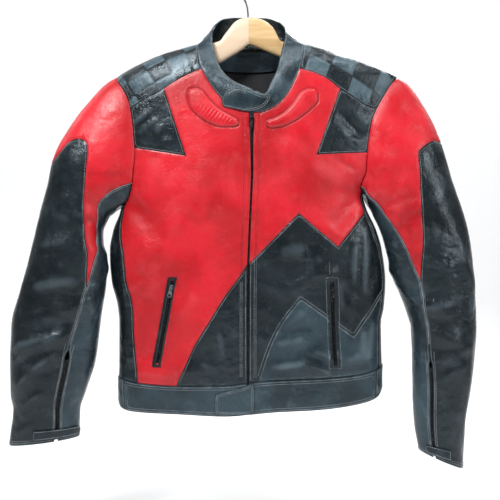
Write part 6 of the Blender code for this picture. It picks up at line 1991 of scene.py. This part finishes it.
def build_band():
    """The waistband in three lengths, and the tab that closes it."""
    left_zip, right_zip = (band_angle_at(zip_x_at_band(side)) for side in SIDES)
    for label, start, end in (("left", BAND_JOINT_LEFT, left_zip),
                              ("back", BAND_JOINT_RIGHT, 360 + BAND_JOINT_LEFT),
                              ("right", right_zip, BAND_JOINT_RIGHT)):
        top, foot = band_run(BAND_TOP, start, end), band_run(BAND_BOTTOM, end, start)
        outline = join(top, resample([top[-1], foot[0]], 4), foot, resample([foot[-1], top[0]], 4))
        panel("band_" + label, torso_chart(180 if label == "back" else 0), outline, "slate",
              outer=PROUD, inner=PROUD - DOUBLE, back="same")
    tab = [(TAB_ROOT, 722), (-12, 731), (-40, 738), (TAB_END, 745), (TAB_END - 1, 762),
           (TAB_END, 779), (-40, 780), (-12, 780), (TAB_ROOT, 776), (TAB_ROOT + 1, 750)]
    panel("band_tab", torso_chart(0), closed_outline(tab, 4), "slate",
          outer=PROUD + TAB_LIFT + 0.3, inner=PROUD + 0.6, step=4.0, back="same")


def build_zips():
    chart = torso_chart(0)
    drops = [as_seen(zip_run(1, low, high))[:, 1] for low, high in ((260, CENTRE), (CENTRE, 770))]
    drops = np.concatenate([drops[0], drops[1][1:]])
    path = chart.flat(seen(np.stack([smooth(FRONT_ZIP, 1, drops), drops], -1)))
    build_zip("front_zip", chart, path)
    for side, label in SIDES.items():
        line = resample(POCKET[side][:2])
        line[0] += (line[1] - line[0]) * 0.05
        line[-1] -= (line[1] - line[0]) * 0.05
        build_zip("pocket_zip_" + label, chart, chart.flat(seen(line)), POCKET_TAPE_LIFT)


# ---------------------------------------------------------------- sewing and trim, panel by panel
def torso_path(points):
    """A flat path on the torso's front chart through points given as seen."""
    return torso_chart(0).flat(seen(resample(points, 3.0)))


def above_band(raw):
    return raw[:, 1] < smooth(BAND_TOP, 1, half_turn(raw[:, 0])) - 5


def sew_body():
    for look, row, keep, names in (
            ("grey_thread", EDGE_ROW, above_band,
             ("front_left_black", "front_right_black", "front_right_grey", "back")),
            ("grey_thread", EDGE_ROW, None, ("insert_left", "insert_right")),
            ("grey_thread", EDGE_ROW, above_band, ("side_left", "side_right")),
            ("grey_thread", TRIM_ROW, None, ("yoke_left", "yoke_right")),
            ("red_thread", RED_ROW, above_band, ("front_left_red", "front_right_red"))):
        for name in names:
            sew_rim(look, name, row, keep)
    drops = np.arange(262, 716, 3.0)
    for side, label in SIDES.items():
        names = [f"front_{label}_red", f"front_{label}_black"]
        for offset in (PLACKET, PLACKET + 3.2):
            path = torso_chart(0).flat(beside_zip(drops, side, offset))
            sew("red_thread", names, path[drops < 508])
            sew("grey_thread", names, path[drops >= (545 if side < 0 else 508)])
    lower_right = ["front_right_black", "front_right_grey"]
    for side, look, names in ((-1, "red_thread", ["front_left_red"]), (1, "grey_thread", lower_right)):
        (x0, d0), (x1, d1), width = POCKET[side]
        out, end = width / 2 + 6.5, 7.0
        corners = [(x0 - out, d0 - end), (x1 - out, d1 + end), (x1 + out, d1 + end),
                   (x0 + out, d0 - end), (x0 - out, d0 - end)]
        for line in zip(corners, corners[1:]):
            sew(look, names, torso_path(line))
    for points in EXTRA_ROWS:
        sew("grey_thread", lower_right, torso_path(points))


def sew_collar():
    for name in ("collar_band", "collar_tab", "neck_facing"):
        sew_rim("grey_thread", name, TRIM_ROW)
    sew_rim("grey_thread", "collar_tab", TRIM_ROW + 3.0, lambda raw: raw[:, 0] > -6)


def sew_band():
    for name in ("band_left", "band_right", "band_back", "band_tab"):
        sew_rim("grey_thread", name, EDGE_ROW)
    sew_rim("grey_thread", "band_tab", 5.4)
    for name in ("band_left", "band_right", "band_back"):
        sew_rim("grey_thread", name, 6.6, off_band_middle)


def off_band_middle(raw):
    angles = half_turn(raw[:, 0])
    return np.abs(raw[:, 1] - (smooth(BAND_TOP, 1, angles) + smooth(BAND_BOTTOM, 1, angles)) / 2) > 6


def sew_sleeve(side, label):
    length = sleeve_length(side)
    outer, under, red = (f"sleeve_{label}_{part}" for part in ("outer", "under", "red"))
    low = length - CUFF_CLEAR
    sew_rim("grey_thread", outer, EDGE_ROW, lambda raw: raw[:, 1] < low)
    sew_rim("grey_thread", under, EDGE_ROW, lambda raw: (raw[:, 1] < low) & (raw[:, 1] > 6))
    sew_rim("red_thread", red, RED_ROW)
    for name, start, end in ((outer, -112, 112), (under, 118, 243)):
        for up in (4.0, 7.2):
            ring = level(np.arange(start, end, 1.5), length - up)
            sew("grey_thread", [name], PANELS[name]["chart"].flat(ring))
    top = CUFF_ZIP_TOP[side]
    line = forearm_line(side, 3.0)
    line = line[(line[:, 1] > top - 14) & (line[:, 1] < length - 10)]
    chart = PANELS[outer]["chart"]
    for offset in (7.5, -7.5):
        sew("grey_thread", [outer, under], beside(chart.flat(line), offset), chart)
    sew_rim("grey_thread", "cuff_strap_" + label, TRIM_ROW)
    chart = PANELS[under]["chart"]
    piping(f"sleeve_{label}_seam_piping", chart.flat(resample(UNDER[side], 3.0)), 0.6, 0.1, chart)
    cord = resample([row for row in FOREARM[side] if row[1] < top], 3.0)
    piping(f"sleeve_{label}_forearm_piping", chart.flat(cord), 0.65 if side < 0 else 1.0, 0.2, chart)


def welt(name, line, near, far, chart):
    """A folded leather edge along one side of a pocket's slot."""
    low, high = -1.2, 1.5
    section = [(near, low), (far, low + 0.9), (far, high - 0.8), (far - (far - near) * 0.25, high),
               (near + (far - near) * 0.25, high + 0.2), (near, high - 0.9)]
    strip(name, chart, line, section, "black", fine=1.0)


def build_welts():
    chart = torso_chart(0)
    for side, label in SIDES.items():
        (x0, d0), (x1, d1), width = POCKET[side]
        line = chart.flat(seen(resample([(x0, d0 - 3), (x1, d1 + 3)], 3.0)))
        half = width / 2
        for hand, spare in zip((-1, 1), WELTS[side]):
            name = f"pocket_{label}_welt_{'outer' if hand == side else 'inner'}"
            welt(name, line, hand * (half - 1.6), hand * (half + spare), chart)
        for end, name, step in ((0, "top", -0.8), (-1, "foot", 0.8)):
            across = np.linspace(-half - 3.4, half + 3.4, 8)
            strip(f"pocket_{label}_{name}_bar", chart, line[end] + (0.0, step) + level(across, 0.0),
                  ((-2.2, -0.6), (2.2, -0.6), (2.0, 1.7), (-2.0, 1.7)), "black", fine=1.0)


# ---------------------------------------------------------------- fittings
def build_wood():
    """The wooden bow, with rounded edges."""
    ends = WOOD[0][0], WOOD[-1][0]
    middle = (ends[0] + ends[1]) / 2
    reach = (ends[1] - ends[0]) / 2
    rings = []
    for t in np.linspace(0.06, math.pi - 0.06, WOOD_RINGS):
        x = middle - reach * math.cos(t)
        top, bottom = float(smooth(WOOD, 1, x)), float(smooth(WOOD, 2, x))
        near_end = ease((reach - abs(x - middle)) / 5 + 0.35)
        half, tall = WOOD_THICK / 2 * near_end, (bottom - top) / 2 * near_end
        centre = (top + bottom) / 2
        ring = []
        for k in range(WOOD_SIDES):
            a = 2 * math.pi * (k + 0.5) / WOOD_SIDES
            c, s = math.cos(a), math.sin(a)
            size = (abs(c) ** WOOD_SQUARE + abs(s) ** WOOD_SQUARE) ** (-1 / WOOD_SQUARE)
            ring.append((x, half * c * size, -centre + tall * s * size))
        rings.append(ring)
    rings = np.array(rings)
    made = extra_piece("hanger_wood_bow", rings.reshape(-1, 3), outward(rings), "wood", angle=50)
    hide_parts("hanger_wood")


def outward(rings):
    """Faces of a closed tube through rings, turned outward."""
    points = (rings - rings.mean(axis=(0, 1))).reshape(-1, 3)
    faces = tube_faces(len(rings), rings.shape[1])
    volume = sum(np.dot(points[f[0]], np.cross(points[f[i]], points[f[i + 1]]))
                 for f in faces for i in range(1, len(f) - 1))
    return faces if volume > 0 else [face[::-1] for face in faces]


def build_hook():
    radius = HOOK_RADIUS + WIRE / 2
    path = [(0.0, -WOOD_TOP), (-1.0, -60), (-4.0, -47), (-10.5, -36)]
    for t in np.linspace(200, -30, 17):
        path.append((radius * math.cos(math.radians(t)), -HOOK_RADIUS + radius * math.sin(math.radians(t))))
    path = resample(path, 2.0)
    path = np.stack([path[:, 0], 0 * path[:, 0], path[:, 1]], -1)
    shrink = ease((np.linalg.norm(path - path[-1], axis=1)) / 2.0 + 0.2)
    rings = tube_points(path, np.array([[0.0, 1.0, 0.0]]) + 0 * path, WIRE / 2, 20)
    rings = path[:, None, :] + (rings - path[:, None, :]) * shrink[:, None, None]
    made = extra_piece("hanger_hook_wire", rings.reshape(-1, 3), outward(rings), "steel", angle=60)
    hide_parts("hanger_hook")


def soften_node(name, look, width):
    """A copy of a small CAD fitting with rounded edges."""
    source = NODES[name]
    mesh = source.data.copy()
    mesh.materials.clear()
    mesh.materials.append(LOOKS[look])
    made = bpy.data.objects.new(name + "_rounded", mesh)
    bpy.context.scene.collection.objects.link(made)
    made.matrix_world = source.matrix_world.copy()
    weld = made.modifiers.new("weld", "WELD")
    weld.merge_threshold = WELD * MM
    bevel = made.modifiers.new("edges", "BEVEL")
    bevel.width = width * MM
    bevel.segments = 3
    bevel.limit_method = "ANGLE"
    bevel.angle_limit = math.radians(BEVEL_ANGLE)
    bevel.harden_normals = True
    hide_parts(name)
    return made


def build_fittings():
    build_wood()
    build_hook()
    for label, look in (("front", "dark_metal"), ("pocket_left", "steel"), ("pocket_right", "dark_metal")):
        pull = label + "_pull"
        for name, width, body in ((label + "_slider", 0.28, BODY), (pull, 0.22, pull)):
            made = soften_node(name, look, width)
            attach(made, body)


def declare_cloth():
    for made, flat, area, held in CLOTH:
        if made.name.startswith("chest_pad"):
            continue


# ---------------------------------------------------------------- camera, light and floor
def build_stage():
    scene = bpy.context.scene
    camera = bpy.data.objects.new("camera", bpy.data.cameras.new("camera"))
    scene.collection.objects.link(camera)
    camera.location = CAMERA_PLACE
    camera.rotation_euler = (math.radians(90), 0, 0)
    camera.data.lens = LENS
    camera.data.sensor_width = SENSOR
    scene.camera = camera
    scene.view_settings.view_transform = "Standard"
    for name, place, target, power, size in LAMPS:
        lamp = bpy.data.lights.new(name, "AREA")
        lamp.energy = power
        lamp.shape = "RECTANGLE"
        lamp.size, lamp.size_y = size
        made = bpy.data.objects.new(name, lamp)
        scene.collection.objects.link(made)
        made.location = place
        made.rotation_euler = (Vector(target) - Vector(place)).to_track_quat("-Z", "Y").to_euler()
    world = bpy.data.worlds.new("studio")
    scene.world = world
    world.use_nodes = True
    back = world.node_tree.nodes["Background"]
    back.inputs["Color"].default_value = (*WORLD_COLOUR, 1)
    back.inputs["Strength"].default_value = WORLD_STRENGTH
    bend = [(BACKDROP + SWEEP * math.sin(t), FLOOR + SWEEP * (1 - math.cos(t)))
            for t in np.linspace(0, math.pi / 2, 17)]
    profile = [(-FLOOR_HALF, FLOOR), *bend, (BACKDROP + SWEEP, FLOOR + BACKDROP_TALL)]
    points = [(x, y, z) for y, z in profile for x in (-FLOOR_HALF, FLOOR_HALF)]
    faces = [(2 * i, 2 * i + 1, 2 * i + 3, 2 * i + 2) for i in range(len(profile) - 1)]
    mesh = bpy.data.meshes.new("floor")
    mesh.from_pydata(points, [], faces)
    mesh.shade_smooth()
    paint = Nodes("floor_paint")
    mesh.materials.append(paint.finish((0.86, 0.86, 0.86, 1), 0.7))
    made = bpy.data.objects.new("floor", mesh)
    scene.collection.objects.link(made)


CAMERA_PLACE = (0.0029, -1.7, -0.4914)
LENS, SENSOR = 68, 36
FLOOR = -1.02
FLOOR_HALF = 6.0     # from the middle of the floor to its sides
BACKDROP_TALL = 5.0
BACKDROP = 1.6       # where the floor starts to curve up behind the jacket
SWEEP = 1.2          # radius of that curve
WORLD_COLOUR = (0.92, 0.96, 1.0)
WORLD_STRENGTH = 0.24
# name, place, aim, watts, width and height
LAMPS = (
    ("key", (-0.8, -1.4, 1.0), (0, 0, -0.45), 42, (0.5, 0.4)),
    ("fill", (1.6, -1.3, 0.2), (0, 0, -0.45), 12, (0.5, 0.9)),
    ("top", (0.1, -0.45, 0.9), (0, 0, -0.5), 10, (1.3, 0.25)),
    ("back", (0.6, 1.3, 0.7), (0, 0, -0.5), 24, (0.9, 0.9)),
    ("backdrop_left", (-1.6, 1.0, 1.2), (0, 2.8, -0.5), 24, (1.5, 1.5)),
    ("backdrop_right", (1.6, 1.0, 1.2), (0, 2.8, -0.5), 24, (1.5, 1.5)),
)


def main():
    build_body()
    for side, label in SIDES.items():
        build_sleeve(side, label)
    build_collar()
    build_inside()
    build_pads()
    build_band()
    build_zips()
    build_welts()
    sew_body()
    sew_collar()
    sew_band()
    for side, label in SIDES.items():
        sew_sleeve(side, label)
    build_stitches()
    build_fittings()
    declare_cloth()
    build_stage()


main()
